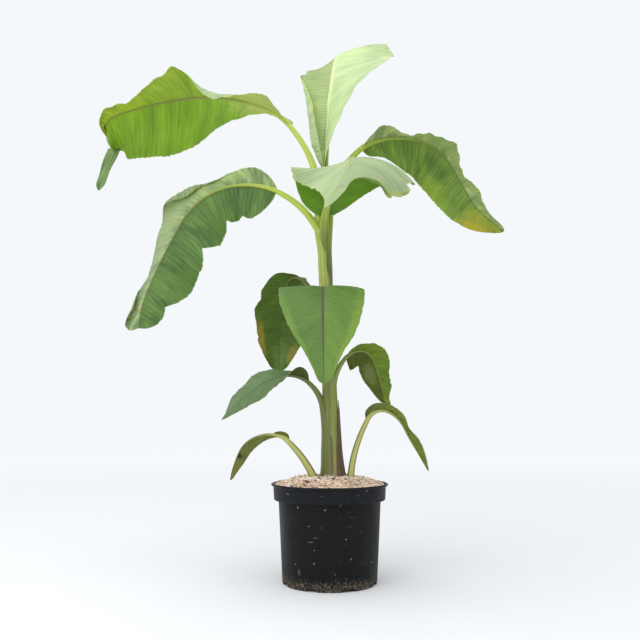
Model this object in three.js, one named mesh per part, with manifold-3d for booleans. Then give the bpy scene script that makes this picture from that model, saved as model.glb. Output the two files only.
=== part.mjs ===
// A young banana plant in a round nursery pot.
// Millimetres, +Z up, +X to the right, +Y to the back.
// The origin is the centre of the pot's flat underside.
//
// The pot holds a root ball of compost under a mound of wood-chip mulch. The stem is a bundle of
// leaf sheaths, and each leaf is a fleshy stalk that carries a thin blade folded along its midrib.
import * as THREE from 'three';
import { mergeVertices } from 'three/addons/utils/BufferGeometryUtils.js';
import Module from 'manifold-3d';

const wasm = await Module();
wasm.setup();

// ---------------------------------------------------------------- driving dimensions

const GAP = 0.35; // air left between pieces that touch
const POT_HEIGHT = 228;
const POT_BASE_RADIUS = 111.5;
const POT_BODY_RADIUS = 122; // just under the band
const BAND_HEIGHT = 38;
const BAND_RADIUS = 133;
const LIP_RADIUS = 140;
const LIP_HEIGHT = 5;
const WALL = 2.5;
const FLOOR = 3;
const POT_SIDES = 40;
const DRAIN_HOLES = 8;
const DRAIN_WIDTH = 26;
const DRAIN_HEIGHT = 8;
const DRAIN_DEPTH = 14; // inwards from the outside of the base

const COMPOST_TOP = 206;
const MULCH_EDGE_TOP = 221;
const MULCH_CROWN_TOP = 243;

const STEM_TOP = 886;
const STEM_FOOT_X = 8; // the stem leans from here ...
const STEM_TOP_X = -14; // ... to here
const STEM_TOP_RADIUS = 15;
const STEM_TAPER = 4.6; // extra radius at the foot, falling evenly to the top
const STEM_FLARE = 17; // extra radius of the root flare
const STEM_FLARE_HEIGHT = 75; // height over which the flare dies away
const STEM_SIDES = 16;
const STEM_OVAL = 0.05; // share by which the stem is wider one way than the other
const STEM_OVAL_TURN = 160; // rise over which that oval turns by one radian

const SHEATH_TOP = 440; // old brown sheath on the right of the stem
const SHEATH_THICKNESS = 3;
const SHEATH_FROM = -85; // degrees round the stem, 0 is +X
const SHEATH_TO = 70;
const SHEATH_NARROWING = 0.85; // share of that spread which is lost by the top

const STALK_SIDES = 8;
const STALK_DEPTH = 0.8; // thickness of a stalk over its width
const BLADE_THICKNESS = 2.4;
const BLADE_EDGE_RATIO = 0.2; // thickness over half-width where the blade is narrow
const BLADE_LEAST_HALF_WIDTH = 6;
const BASE_SHARE = 0.35; // width left where the blade meets the stalk, over its width just past it
const BASE_LENGTH = 0.07; // share of the midrib that the blade opens over
const TIP_SHARE = 0.6; // width left at the tip, over the width just before it
const TIP_LENGTH = 0.07;
const BLADE_SWEEP = 0.15; // how far the side veins lean towards the tip
const BLADE_BOW = 10; // degrees that each half droops more at its margin
const BLADE_STEPS = 8; // along one half of a blade's length
const BLADE_DIVISIONS = 3; // across one half of a blade's width
const WALK_STEPS = 120; // fine steps that a midrib is summed over

// Half of a blade, seen from above: its half-widths and its angle to the blade's level, both at
// even steps along the midrib from base to tip, and the margin's ripple.
function half(widths, lift, { ripple = 0, waves = 3 } = {}) {
  return { widths, lift, ripple, waves };
}

// heading: degrees round from +X, at the stalk's foot, then at even steps along the blade.
// pitch: degrees above the horizontal, in the same way with its own even steps.
const LEAVES = [
  {
    name: 'leaf_top_left', foot: [-27, 4, 868], stalk: 295, blade: 565, stalkWidth: [24, 13], pieces: 2,
    heading: [170, 168, 170, 174, 178, 182, 184, 186, 190, 190],
    pitch: [100, 48, 29, 17, 5, -5, -13, -19, -28, -90],
    right: half(
      [40, 80, 100, 130, 145, 145, 135, 115, 60],
      [45, 36, 28, 12, -18, -28, -30, -28, 0],
      { ripple: 4, waves: 5 },
    ),
    left: half([60, 85, 80, 75, 120, 118, 100, 95, 60], [-6, 4, -5, -15, 15, 5, -10, -12, 10]),
  },
  {
    name: 'leaf_mid_left', foot: [-26, -4, 850], stalk: 151, blade: 560, stalkWidth: [21, 12], pieces: 2,
    heading: [185, 186, 186, 188, 190, 190, 190], pitch: [64, 22, -6, -38, -64, -66, -70, -88],
    right: half([25, 60, 50, 50, 75, 80, 70, 60, 65], [62, 62, 46, 56, 40, 28, 22, 26, 32], { ripple: 3 }),
    left: half([60, 95, 90, 110, 105, 108, 108, 70, 45], [-70, -72, -68, -64], { ripple: 6, waves: 4 }),
  },
  {
    name: 'leaf_top_new', foot: [-14, 11, 880], stalk: 140, blade: 570, stalkWidth: [20, 20], pieces: 2,
    heading: [80, 66, 64, 70, 90, 95], pitch: [92, 82, 80, 74, 30, -30],
    right: half([30, 85, 115, 135, 155, 165, 140, 80, 30], [75, 62, 48, 32, 12, 4, 25, 28, 20]),
    left: half([25, 45, 60, 75, 95, 78, 45, 20, 15], [30, 24, 20, 15, 5, -20, -45, -50, -50]),
  },
  {
    name: 'leaf_top_right', foot: [0, 6, 872], stalk: 238, blade: 495, stalkWidth: [20, 13], pieces: 2,
    heading: [20, 12, 0, -8, -10, -5, 0], pitch: [96, 38, 16, -2, -20, -46, -62, -66, -60, -38, -45],
    right: half([30, 85, 90, 95, 105, 110, 85, 55, 20], [5, 10, -15, 0, 10, 0, 8, -4, 0], { ripple: 2 }),
    left: half(
      [35, 50, 90, 105, 100, 88, 72, 45, 20],
      [-38, -32, -40, -48, -54, -54, -50],
      { ripple: 3, waves: 4 },
    ),
  },
  {
    name: 'leaf_top_front', foot: [-13, -15, 868], stalk: 16, blade: 455, stalkWidth: [24, 20], pieces: 2,
    heading: [-70, -68, -66, -72, -100, -125, -140], pitch: [82, 64, 38, -4, -36, -52, -60],
    right: half([40, 80, 120, 145, 145, 110, 75, 45, 20], [25, 8, -15, -22, -25, -22, -20], { ripple: 4 }),
    left: half(
      [40, 75, 110, 145, 160, 145, 105, 60, 25],
      [20, 0, -10, -12, -15, -28, -30, 10, 0],
      { ripple: 4, waves: 4 },
    ),
  },
  {
    name: 'leaf_mid_front', foot: [-16, -14, 618], stalk: 64, blade: 325, stalkWidth: [22, 12], pieces: 2,
    heading: [-90, -90, -90, -86], pitch: [75, 45, -60, -76, -78],
    right: half([80, 100, 105, 98, 84, 66, 48, 24, 12], [12, 3, -2, -4]),
    left: half([80, 95, 98, 94, 84, 70, 50, 30, 12], [12, 3, -2, -4]),
  },
  {
    name: 'leaf_mid_back', foot: [-24, 6, 640], stalk: 106, blade: 345, stalkWidth: [20, 11], pieces: 2,
    heading: [145, 130, 105, 88], pitch: [76, 42, -45, -80, -88],
    right: half([20, 30, 60, 85, 82, 76, 64, 42, 25], [15, 0, 0, -10, -10], { ripple: 3 }),
    left: half([20, 25, 44, 62, 80, 74, 62, 42, 25], [30, 25, 35, 15, -8, -14, -14, -10, -10], { ripple: 3 }),
  },
  {
    name: 'leaf_low_left', foot: [-12, -4, 392], stalk: 92, blade: 248, stalkWidth: [16, 9], pieces: 1,
    heading: [180, 190, 195, 195], pitch: [88, 36, -10, -34, -42, -52],
    right: half([15, 30, 40, 48, 50, 46, 38, 24, 10], [45, 35, 40, 38, 30, 20, 0]),
    left: half([15, 26, 28, 38, 42, 38, 32, 20, 10], [60, 45, 0, -25, -32, -32, -32, -25, -20]),
  },
  {
    name: 'leaf_low_right', foot: [8, -4, 458], stalk: 82, blade: 220, stalkWidth: [16, 9], pieces: 1,
    heading: [0, 20, 45, 50, 50], pitch: [84, 46, -5, -62, -66, -70],
    right: half([20, 35, 45, 45, 45, 42, 38, 28, 24], [30, 32, 22, 0, -10, -10]),
    left: half([45, 48, 44, 40, 44, 42, 32, 22, 12], [-40, -45, -38, -30, -20, -10]),
  },
  {
    name: 'leaf_foot_left', foot: [-26, -8, 218], stalk: 136, blade: 204, stalkWidth: [26, 14], pieces: 1,
    heading: [180, 184, 188, 190], pitch: [70, 42, 8, -14, -36, -66, -72, -84],
    right: half([14, 10, 10, 18, 22, 22, 18, 12, 6], [40, 20, -20, -40, -40, -40, -20, 0, 0]),
    left: half([8, 8, 14, 22, 26, 26, 22, 14, 6], [-50, -60, -70]),
  },
  {
    name: 'leaf_foot_right', foot: [47, -6, 212], stalk: 176, blade: 230, stalkWidth: [22, 12], pieces: 1,
    heading: [0, -5, -10, -10], pitch: [90, 60, 22, -24, -46, -66, -62, -60, -62, -60],
    right: half([12, 18, 22, 20, 14, 26, 22, 16, 6], [30, 40, 45, 40, 35]),
    left: half([12, 16, 20, 18, 12, 22, 20, 14, 6], [35, 45, 50, 50, 40]),
  },
];

// The top left leaf ends in a narrow strip that hangs from its tip.
const STRIP_LENGTH = 115;
const STRIP_HALF_WIDTH = 16;
const STRIP_END_HALF_WIDTH = 8;
const STRIP_THICKNESS = 1.2;
const STRIP_HEADING = [250, 250]; // its face is turned to the front
const STRIP_PITCH = [-64, -74];

const MATERIALS = {
  pot: new THREE.MeshStandardMaterial({ color: 0x24272a, roughness: 0.55, metalness: 0 }),
  compost: new THREE.MeshStandardMaterial({ color: 0x3b2a1c, roughness: 1, metalness: 0 }),
  mulch: new THREE.MeshStandardMaterial({ color: 0xdcc09a, roughness: 0.95, metalness: 0 }),
  stem: new THREE.MeshStandardMaterial({ color: 0x7f8a45, roughness: 0.5, metalness: 0 }),
  old_sheath: new THREE.MeshStandardMaterial({ color: 0x5c4a3a, roughness: 0.7, metalness: 0 }),
  stalk: new THREE.MeshStandardMaterial({ color: 0xb4cb54, roughness: 0.45, metalness: 0 }),
  blade: new THREE.MeshStandardMaterial({ color: 0x5c9a35, roughness: 0.45, metalness: 0 }),
  new_blade: new THREE.MeshStandardMaterial({ color: 0xb4d98c, roughness: 0.45, metalness: 0 }),
};

// ---------------------------------------------------------------- small helpers

const radians = THREE.MathUtils.degToRad;

/** Value at t (0..1) along evenly spaced keys, straight between them. */
function keyed(keys, t) {
  const x = THREE.MathUtils.clamp(t, 0, 1) * (keys.length - 1);
  const i = Math.min(Math.floor(x), keys.length - 2);
  return THREE.MathUtils.lerp(keys[i], keys[i + 1], x - i);
}

/** The frame of a midrib: along it, square to it on the right, and up out of the blade. */
function frameAt(heading, pitch) {
  const h = radians(heading);
  const p = radians(pitch);
  const along = new THREE.Vector3(Math.cos(p) * Math.cos(h), Math.cos(p) * Math.sin(h), Math.sin(p));
  const right = new THREE.Vector3(Math.sin(h), -Math.cos(h), 0);
  return { along, right, up: new THREE.Vector3().crossVectors(right, along) };
}

/** Walks a length whose heading and pitch follow their keys, and returns point and frame by t. */
function walk(start, length, heading, pitch) {
  const points = [start.clone()];
  const step = length / WALK_STEPS;
  for (let i = 0; i < WALK_STEPS; i++) {
    const t = (i + 0.5) / WALK_STEPS;
    const { along } = frameAt(keyed(heading, t), keyed(pitch, t));
    points.push(points[i].clone().addScaledVector(along, step));
  }
  return (t) => {
    const x = THREE.MathUtils.clamp(t, 0, 1) * WALK_STEPS;
    const i = Math.min(Math.floor(x), WALK_STEPS - 1);
    const point = points[i].clone().lerp(points[i + 1], x - i);
    return { point, ...frameAt(keyed(heading, t), keyed(pitch, t)) };
  };
}

/** A geometry with only positions and shared vertices. */
function meshFrom(positions, indices) {
  const geometry = new THREE.BufferGeometry();
  geometry.setAttribute('position', new THREE.Float32BufferAttribute(positions, 3));
  geometry.setIndex(indices);
  return mergeVertices(geometry, 1e-4);
}

/** Closed tube through rings of equal count, each ring turning anticlockwise about its way. */
function tubeFrom(rings) {
  const sides = rings[0].length;
  const centre = (ring) => ring.reduce((sum, p) => sum.add(p), new THREE.Vector3()).divideScalar(sides);
  const first = rings.length * sides;
  const points = [...rings.flat(), centre(rings[0]), centre(rings[rings.length - 1])];
  const indices = [];
  for (let i = 0; i < rings.length - 1; i++) {
    for (let j = 0; j < sides; j++) {
      const a = i * sides + j;
      const b = i * sides + ((j + 1) % sides);
      indices.push(a, b, b + sides, a, b + sides, a + sides);
    }
  }
  for (let j = 0; j < sides; j++) {
    const k = (j + 1) % sides;
    indices.push(first, k, j, first + 1, first - sides + j, first - sides + k);
  }
  return meshFrom(points.flatMap((p) => p.toArray()), indices);
}

/**
 * Closed slab on a surface given as pointAt(i, j): i runs along from 0 to steps, j runs across
 * from left to right from 0 to divisions, and both may lie between or just outside whole numbers.
 */
function slabFrom(pointAt, steps, divisions, thickness) {
  const rows = steps + 1;
  const columns = divisions + 1;
  const shifted = (i, j, side) => {
    const across = pointAt(i, j + 0.5).sub(pointAt(i, j - 0.5));
    const along = pointAt(i + 0.5, j).sub(pointAt(i - 0.5, j));
    const normal = across.cross(along).normalize();
    return pointAt(i, j).addScaledVector(normal, (side * thickness(i)) / 2);
  };
  const points = [];
  for (const side of [1, -1]) {
    for (let i = 0; i < rows; i++) {
      for (let j = 0; j < columns; j++) points.push(shifted(i, j, side));
    }
  }
  const under = rows * columns;
  const indices = [];
  const quad = (a, b, c, d) => indices.push(a, b, c, a, c, d);
  for (let i = 0; i < rows - 1; i++) {
    for (let j = 0; j < columns - 1; j++) {
      const a = i * columns + j;
      quad(a, a + 1, a + columns + 1, a + columns);
      quad(under + a, under + a + columns, under + a + columns + 1, under + a + 1);
    }
  }
  for (let j = 0; j < columns - 1; j++) {
    const last = (rows - 1) * columns + j;
    quad(j + 1, j, under + j, under + j + 1);
    quad(last, last + 1, under + last + 1, under + last);
  }
  for (let i = 0; i < rows - 1; i++) {
    const left = i * columns;
    const right = left + columns - 1;
    quad(left, left + columns, under + left + columns, under + left);
    quad(right + columns, right, under + right, under + right + columns);
  }
  return meshFrom(points.flatMap((p) => p.toArray()), indices);
}

/** A closed geometry as a manifold-3d solid. */
function solidOf(geometry) {
  const bare = geometry.clone();
  bare.deleteAttribute('normal');
  bare.deleteAttribute('uv');
  const merged = mergeVertices(bare, 1e-4);
  return new wasm.Manifold(new wasm.Mesh({
    numProp: 3,
    vertProperties: new Float32Array(merged.attributes.position.array),
    triVerts: new Uint32Array(merged.index.array),
  }));
}

/** The largest piece of a manifold-3d solid as a geometry. */
function geometryOf(solid) {
  const pieces = solid.decompose();
  pieces.sort((a, b) => b.volume() - a.volume());
  const mesh = pieces[0].getMesh();
  return meshFrom(Array.from(mesh.vertProperties), Array.from(mesh.triVerts));
}

/** A geometry with its neighbours cut away. */
function cutBy(geometry, neighbours) {
  let solid = solidOf(geometry);
  for (const neighbour of neighbours) solid = solid.subtract(solidOf(neighbour));
  return geometryOf(solid);
}

function lathe(profile) {
  const points = profile.map(([radius, z]) => new THREE.Vector2(radius, z));
  return new THREE.LatheGeometry(points, POT_SIDES).rotateX(Math.PI / 2);
}

// ---------------------------------------------------------------- pot and soil

/** Outer radius of the pot's tapering body at a height. */
function bodyRadius(z) {
  return THREE.MathUtils.lerp(POT_BASE_RADIUS, POT_BODY_RADIUS, z / (POT_HEIGHT - BAND_HEIGHT));
}

/** Inner radius of the pot at a height, on the body or behind the band. */
function innerRadius(z) {
  const shelf = POT_HEIGHT - BAND_HEIGHT;
  if (z < shelf) return bodyRadius(z) - WALL;
  return THREE.MathUtils.lerp(BAND_RADIUS, BAND_RADIUS + 2, (z - shelf) / BAND_HEIGHT) - WALL;
}

function makePot() {
  const shelf = POT_HEIGHT - BAND_HEIGHT;
  const lipFoot = POT_HEIGHT - LIP_HEIGHT;
  const profile = [
    [0, 0],
    [POT_BASE_RADIUS - 2, 0],
    [POT_BASE_RADIUS, 2],
    [POT_BODY_RADIUS, shelf - 2],
    [POT_BODY_RADIUS + 1, shelf],
    [BAND_RADIUS, shelf],
    [BAND_RADIUS + 2, lipFoot],
    [LIP_RADIUS, lipFoot + 1],
    [LIP_RADIUS, POT_HEIGHT - 1],
    [LIP_RADIUS - 1.5, POT_HEIGHT],
    [BAND_RADIUS + 2 - WALL, POT_HEIGHT],
    [BAND_RADIUS - WALL, shelf + WALL],
    [POT_BODY_RADIUS - WALL, shelf],
    [bodyRadius(FLOOR) - WALL, FLOOR],
    [0, FLOOR],
  ];
  const drains = [];
  for (let i = 0; i < DRAIN_HOLES; i++) {
    const drain = new THREE.BoxGeometry(2 * DRAIN_DEPTH, DRAIN_WIDTH, 2 * DRAIN_HEIGHT);
    drain.translate(POT_BASE_RADIUS, 0, 0);
    drain.rotateZ(((i + 0.5) * 2 * Math.PI) / DRAIN_HOLES);
    drains.push(drain);
  }
  return cutBy(lathe(profile), drains);
}

/** The compost fills the pot, and stays clear of the wall by the gap. */
function makeCompost() {
  const shelf = POT_HEIGHT - BAND_HEIGHT;
  return lathe([
    [0, FLOOR + GAP],
    [innerRadius(FLOOR) - GAP, FLOOR + GAP],
    [POT_BODY_RADIUS - WALL - GAP, shelf],
    [BAND_RADIUS - WALL - GAP - 0.5, shelf + WALL + 1],
    [innerRadius(COMPOST_TOP) - GAP - 0.3, COMPOST_TOP],
    [0, COMPOST_TOP],
  ]);
}

/** The mulch is a low mound, flat round the stem and falling to the wall. */
function mulchTop(radius) {
  const fall = (radius / BAND_RADIUS) ** 3;
  return THREE.MathUtils.lerp(MULCH_CROWN_TOP, MULCH_EDGE_TOP, fall);
}

function makeMulch(neighbours) {
  const foot = COMPOST_TOP + GAP;
  const edge = innerRadius(MULCH_EDGE_TOP) - GAP - 0.4;
  const profile = [[0, foot], [innerRadius(foot) - GAP - 0.3, foot], [edge, MULCH_EDGE_TOP]];
  for (const radius of [100, 70, 40, 0]) profile.push([radius, mulchTop(radius)]);
  return cutBy(lathe(profile), neighbours);
}

// ---------------------------------------------------------------- stem

function stemRadius(z) {
  const h = z - COMPOST_TOP;
  const taper = STEM_TAPER * (1 - h / (STEM_TOP - COMPOST_TOP));
  return STEM_TOP_RADIUS + taper + STEM_FLARE * Math.exp(-h / STEM_FLARE_HEIGHT);
}

function stemX(z) {
  return THREE.MathUtils.lerp(STEM_FOOT_X, STEM_TOP_X, (z - COMPOST_TOP) / (STEM_TOP - COMPOST_TOP));
}

/** Stem from a flat cut on the compost to the fork, grown by a clearance where it cuts others. */
function makeStem(clearance = 0) {
  const closeRings = [0, 12, 28, 50, 80, 120, 170, 240, 320, 410, 500, 590]; // closer over the flare
  const heights = [...closeRings.map((h) => COMPOST_TOP + GAP + h), STEM_TOP];
  const rings = heights.map((z, i) => {
    const end = i === 0 ? -clearance : i === heights.length - 1 ? clearance : 0;
    const ring = [];
    for (let j = 0; j < STEM_SIDES; j++) {
      const angle = (j * 2 * Math.PI) / STEM_SIDES;
      const lobe = 1 + STEM_OVAL * Math.cos(2 * angle + z / STEM_OVAL_TURN);
      const radius = stemRadius(z) * lobe + clearance;
      ring.push(new THREE.Vector3(stemX(z) + radius * Math.cos(angle), radius * Math.sin(angle), z + end));
    }
    return ring;
  });
  return tubeFrom(rings);
}

/** Old sheath: a shell round the right of the stem that narrows to a point as it rises. */
function makeOldSheath(clearance = 0) {
  const steps = 8;
  const divisions = 6;
  const pointAt = (i, j) => {
    const t = i / steps;
    const z = THREE.MathUtils.lerp(COMPOST_TOP + 2 * GAP - clearance, SHEATH_TOP + clearance, t);
    const margin = THREE.MathUtils.radToDeg(clearance / stemRadius(z));
    const spread = 1 - SHEATH_NARROWING * t * t;
    const angle = THREE.MathUtils.lerp(SHEATH_TO + margin, SHEATH_FROM - margin, j / divisions) * spread;
    const radius = stemRadius(z) * (1 + STEM_OVAL) + SHEATH_THICKNESS / 2 + 2 * GAP;
    const [across, deep] = [Math.cos(radians(angle)), Math.sin(radians(angle))];
    return new THREE.Vector3(stemX(z) + radius * across, radius * deep, z);
  };
  return slabFrom(pointAt, steps, divisions, () => SHEATH_THICKNESS + 2 * clearance);
}

// ---------------------------------------------------------------- leaves

/** Stalk of a leaf, from its foot to where the blade starts. */
function stalkPath(leaf) {
  return walk(new THREE.Vector3(...leaf.foot), leaf.stalk, leaf.heading.slice(0, 2), leaf.pitch.slice(0, 2));
}

/** Midrib of a blade, which grows on from the end of the stalk. */
function midribPath(leaf) {
  return walk(stalkPath(leaf)(1).point, leaf.blade, leaf.heading.slice(1), leaf.pitch.slice(1));
}

function makeStalk(leaf, clearance = 0) {
  const path = stalkPath(leaf);
  const steps = Math.max(5, Math.round(leaf.stalk / 28));
  const rings = [];
  for (let i = 0; i <= steps; i++) {
    const t = i / steps;
    const { point, along, right, up } = path(t);
    const halfWidth = keyed(leaf.stalkWidth, t) / 2 + clearance;
    const end = i === 0 ? -clearance : i === steps ? clearance : 0;
    const ring = [];
    for (let j = 0; j < STALK_SIDES; j++) {
      const angle = (j * 2 * Math.PI) / STALK_SIDES;
      ring.push(point.clone()
        .addScaledVector(along, end)
        .addScaledVector(right, -halfWidth * Math.cos(angle))
        .addScaledVector(up, halfWidth * STALK_DEPTH * Math.sin(angle)));
    }
    rings.push(ring);
  }
  return tubeFrom(rings);
}

/** Half-width of a blade at t, drawn in at the base and at the very tip. */
function halfWidth(side, place) {
  const t = THREE.MathUtils.clamp(place, 0, 1);
  const opening = THREE.MathUtils.lerp(BASE_SHARE, 1, Math.min(1, t / BASE_LENGTH));
  const closing = THREE.MathUtils.lerp(TIP_SHARE, 1, Math.min(1, (1 - t) / TIP_LENGTH));
  return Math.max(keyed(side.widths, t) * opening * closing, BLADE_LEAST_HALF_WIDTH);
}

/** Point of a blade at t along the midrib and v across, from -1 at the left margin to 1. */
function bladePoint(leaf, rib, t, v) {
  const side = v < 0 ? leaf.left : leaf.right;
  const out = Math.abs(v);
  const { point, along, right, up } = rib(t);
  const lift = radians(keyed(side.lift, t) - BLADE_BOW * out);
  const reach = halfWidth(side, t);
  const [level, rise] = [Math.cos(lift), Math.sin(lift)];
  const outward = right.clone().multiplyScalar(Math.sign(v) * level).addScaledVector(up, rise);
  const normal = right.clone().multiplyScalar(-Math.sign(v) * rise).addScaledVector(up, level);
  const share = reach / Math.max(...side.widths);
  const wave = side.ripple * out * out * share * Math.sin(2 * Math.PI * side.waves * t);
  return point.clone()
    .addScaledVector(outward, reach * out)
    .addScaledVector(along, BLADE_SWEEP * reach * out ** 1.5)
    .addScaledVector(normal, wave);
}

/** Slab of a blade between two places along its midrib. */
function makeBlade(leaf, from, to) {
  const rib = midribPath(leaf);
  const place = (i) => THREE.MathUtils.lerp(from, to, i / BLADE_STEPS);
  const pointAt = (i, j) => bladePoint(leaf, rib, place(i), j / BLADE_DIVISIONS - 1);
  const thickness = (i) => {
    const narrow = Math.min(halfWidth(leaf.left, place(i)), halfWidth(leaf.right, place(i)));
    return Math.min(BLADE_THICKNESS, BLADE_EDGE_RATIO * narrow);
  };
  return slabFrom(pointAt, BLADE_STEPS, 2 * BLADE_DIVISIONS, thickness);
}

/** The blades of a leaf as [name, geometry], cut square to the midrib where the leaf arches. */
function bladesOf(leaf) {
  const start = GAP / leaf.blade;
  if (leaf.pieces === 1) return [[`${leaf.name}_blade`, makeBlade(leaf, start, 1)]];
  const middle = 0.5;
  return [
    [`${leaf.name}_blade_inner`, makeBlade(leaf, start, middle - start)],
    [`${leaf.name}_blade_outer`, makeBlade(leaf, middle + start, 1)],
  ];
}

/** The strip that hangs from the right corner of a leaf's tip. */
function makeStrip(leaf) {
  const rib = midribPath(leaf);
  const start = bladePoint(leaf, rib, 1, 1).addScaledVector(rib(1).along, 2 * GAP);
  const strip = {
    blade: STRIP_LENGTH,
    left: half([STRIP_HALF_WIDTH, STRIP_END_HALF_WIDTH], [-10, -40]),
    right: half([STRIP_HALF_WIDTH, STRIP_END_HALF_WIDTH], [-10, -40]),
  };
  const path = walk(start, STRIP_LENGTH, STRIP_HEADING, STRIP_PITCH);
  const steps = 6;
  return slabFrom((i, j) => bladePoint(strip, path, i / steps, j / 2 - 1), steps, 4, () => STRIP_THICKNESS);
}

// ---------------------------------------------------------------- the plant

const plant = new THREE.Group();

function addPiece(name, geometry, material) {
  const mesh = new THREE.Mesh(geometry, material);
  mesh.name = name;
  plant.add(mesh);
}

addPiece('pot', makePot(), MATERIALS.pot);
addPiece('compost', makeCompost(), MATERIALS.compost);
addPiece('stem', makeStem(), MATERIALS.stem);
const stemClearance = makeStem(GAP);
addPiece('old_sheath', cutBy(makeOldSheath(), [stemClearance]), MATERIALS.old_sheath);

const stemAndSheath = [stemClearance, makeOldSheath(GAP)];
const stalksDone = [];
for (const leaf of LEAVES) {
  const stalk = cutBy(makeStalk(leaf), [...stemAndSheath, ...stalksDone]);
  stalksDone.push(makeStalk(leaf, GAP));
  addPiece(`${leaf.name}_stalk`, stalk, MATERIALS.stalk);
  const material = leaf.name === 'leaf_top_new' ? MATERIALS.new_blade : MATERIALS.blade;
  for (const [name, geometry] of bladesOf(leaf)) addPiece(name, geometry, material);
}
addPiece('leaf_top_left_strip', makeStrip(LEAVES[0]), MATERIALS.blade);

addPiece('mulch', makeMulch([...stemAndSheath, ...stalksDone.slice(-2)]), MATERIALS.mulch);

export default plant;
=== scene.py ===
"""A young banana plant in a round nursery pot, laid out as an add-on and run as a script.

Metres, +Z up, +X to the right, +Y to the back. The origin is the centre of the pot's underside.
"""
import math
from types import SimpleNamespace

import bpy
import numpy as np
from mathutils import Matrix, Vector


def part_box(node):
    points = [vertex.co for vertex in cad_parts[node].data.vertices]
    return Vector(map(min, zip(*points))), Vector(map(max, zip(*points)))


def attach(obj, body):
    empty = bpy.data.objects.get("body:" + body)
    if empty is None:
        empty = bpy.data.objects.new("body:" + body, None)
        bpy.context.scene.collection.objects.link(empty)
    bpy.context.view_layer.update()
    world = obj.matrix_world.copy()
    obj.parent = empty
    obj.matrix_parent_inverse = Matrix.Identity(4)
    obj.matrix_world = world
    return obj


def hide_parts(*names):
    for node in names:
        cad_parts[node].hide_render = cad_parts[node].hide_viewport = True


bl_info = {
    "name": "Potted banana plant",
    "version": (1, 0, 0),
    "blender": (4, 5, 0),
    "location": "3D View > Sidebar > Banana plant",
    "description": "Builds a young banana plant with its leaf sheaths, blades, mulch and nursery pot",
    "category": "Add Mesh",
}

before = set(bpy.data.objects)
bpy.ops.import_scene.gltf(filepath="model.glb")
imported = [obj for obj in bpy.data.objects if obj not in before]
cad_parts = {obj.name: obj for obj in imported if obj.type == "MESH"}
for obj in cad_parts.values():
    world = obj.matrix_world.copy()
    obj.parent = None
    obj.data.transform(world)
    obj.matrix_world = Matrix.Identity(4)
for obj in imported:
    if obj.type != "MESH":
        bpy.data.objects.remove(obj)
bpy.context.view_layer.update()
BODY = "root"
MM = 0.001

# ---------------------------------------------------------------- sizes shared by several pieces

COMPOST_TOP = 0.206
STEM_TOP = 0.886
STEM_FOOT_X, STEM_TOP_X = 0.008, -0.014
STEM_TOP_RADIUS, STEM_TAPER = 0.015, 0.0046
STEM_FLARE, STEM_FLARE_HEIGHT = 0.017, 0.075
BLADE_BASE_HALF_WIDTH = 0.006
BLADE_SWEEP = (-0.25, 0.05, 0.15, 0.2, 0.2)  # how far veins lean to the tip, base to tip
BLADE_ROW, BLADE_COLUMN = 0.0026, 0.0045  # a blade's mesh, along and across
RIB_SHARE = 0.985  # how much of a blade its midrib reaches
RUFFLE_HEIGHT = 0.006  # of the uneven waves at a broad blade's margin
PLEAT_HEIGHT = 0.001  # of the pleats between its side veins
BROAD_HALF_WIDTH = 0.1  # narrower blades have less of both
OLD_SHEATH_TOP = 0.425
LIMB_SIDES, LIMB_ROW = 50, 0.005  # points round a stalk's section, and its rows along
SHEATH_OUT, SHEATH_SINK = 0.0022, 0.0036  # from the stem to a sheath's face, and how far its foot sinks
STALK_REACH, RIB_FLATTER = 132, 30  # degrees round a stalk's section each way, and less on the rib
ROUND_SHARE = 0.6  # of a section's points, those on its round outer side
RIB_NARROWING = 0.86
RIB_WIDTH = 0.03  # of the coloured band along a midrib, as a share of the half blade
KEY_SOFTNESS = 0.22  # how far keys are eased into each other, in key steps
WALK_STEPS = 240
WALL_SHARE, SHEATH_WALL = 0.62, 0.0016  # a stalk's flesh as a share of its radius, and a sheath's
STRIP_LENGTH, STRIP_HALF_WIDTH = 0.135, 0.024
STRIP_HEADING, STRIP_PITCH = [225, 225], [-68, -76]  # degrees
POT_SIDES, NOTCHES, NOTCH_SIZE = 160, 8, (0.028, 0.026, 0.016)
BED_RADIUS = 0.1326  # of the mulch where it meets the pot
BED_FOOT, BED_SHOULDER = 0.2068, 0.213  # heights of the bed's underside and of its edge
CHIP_DEPTH = 0.0025  # of the chips over the bed
CHIP_RINGS = (0.45, 1, 0.55)  # a chip's width and height at its start, middle and end
CHIP_SIDES = [(-1, -0.4), (-0.3, -1), (0.8, -0.7), (1, 0.3), (0.2, 1), (-0.8, 0.6)]
# Kind, share of the chips, least height over the bed, crowding towards the stem (0.5 is even).
CHIP_KINDS = [
    ("pale", 0.66, 0.0, 0.5), ("tan", 0.235, 0.0, 0.5), ("rust", 0.05, 0.0006, 0.5),
    ("dark", 0.055, 0.0006, 0.75),
]
FLOOR_RADIUS = 14
LIGHT_AIM = (0.0, 0.0, 0.7)
LIGHTS = [  # name, place, size and power
    ("Top light", (-0.7, -0.9, 2.9), 2.2, 26.0), ("Front light", (-1.6, -2.4, 1.5), 1.8, 16.0),
]
FIRST_SEED = 100  # of the leaves' own unevenness
BLADE_MAP = "Blade"  # UV map of a blade: across in U, base to tip in V

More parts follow.
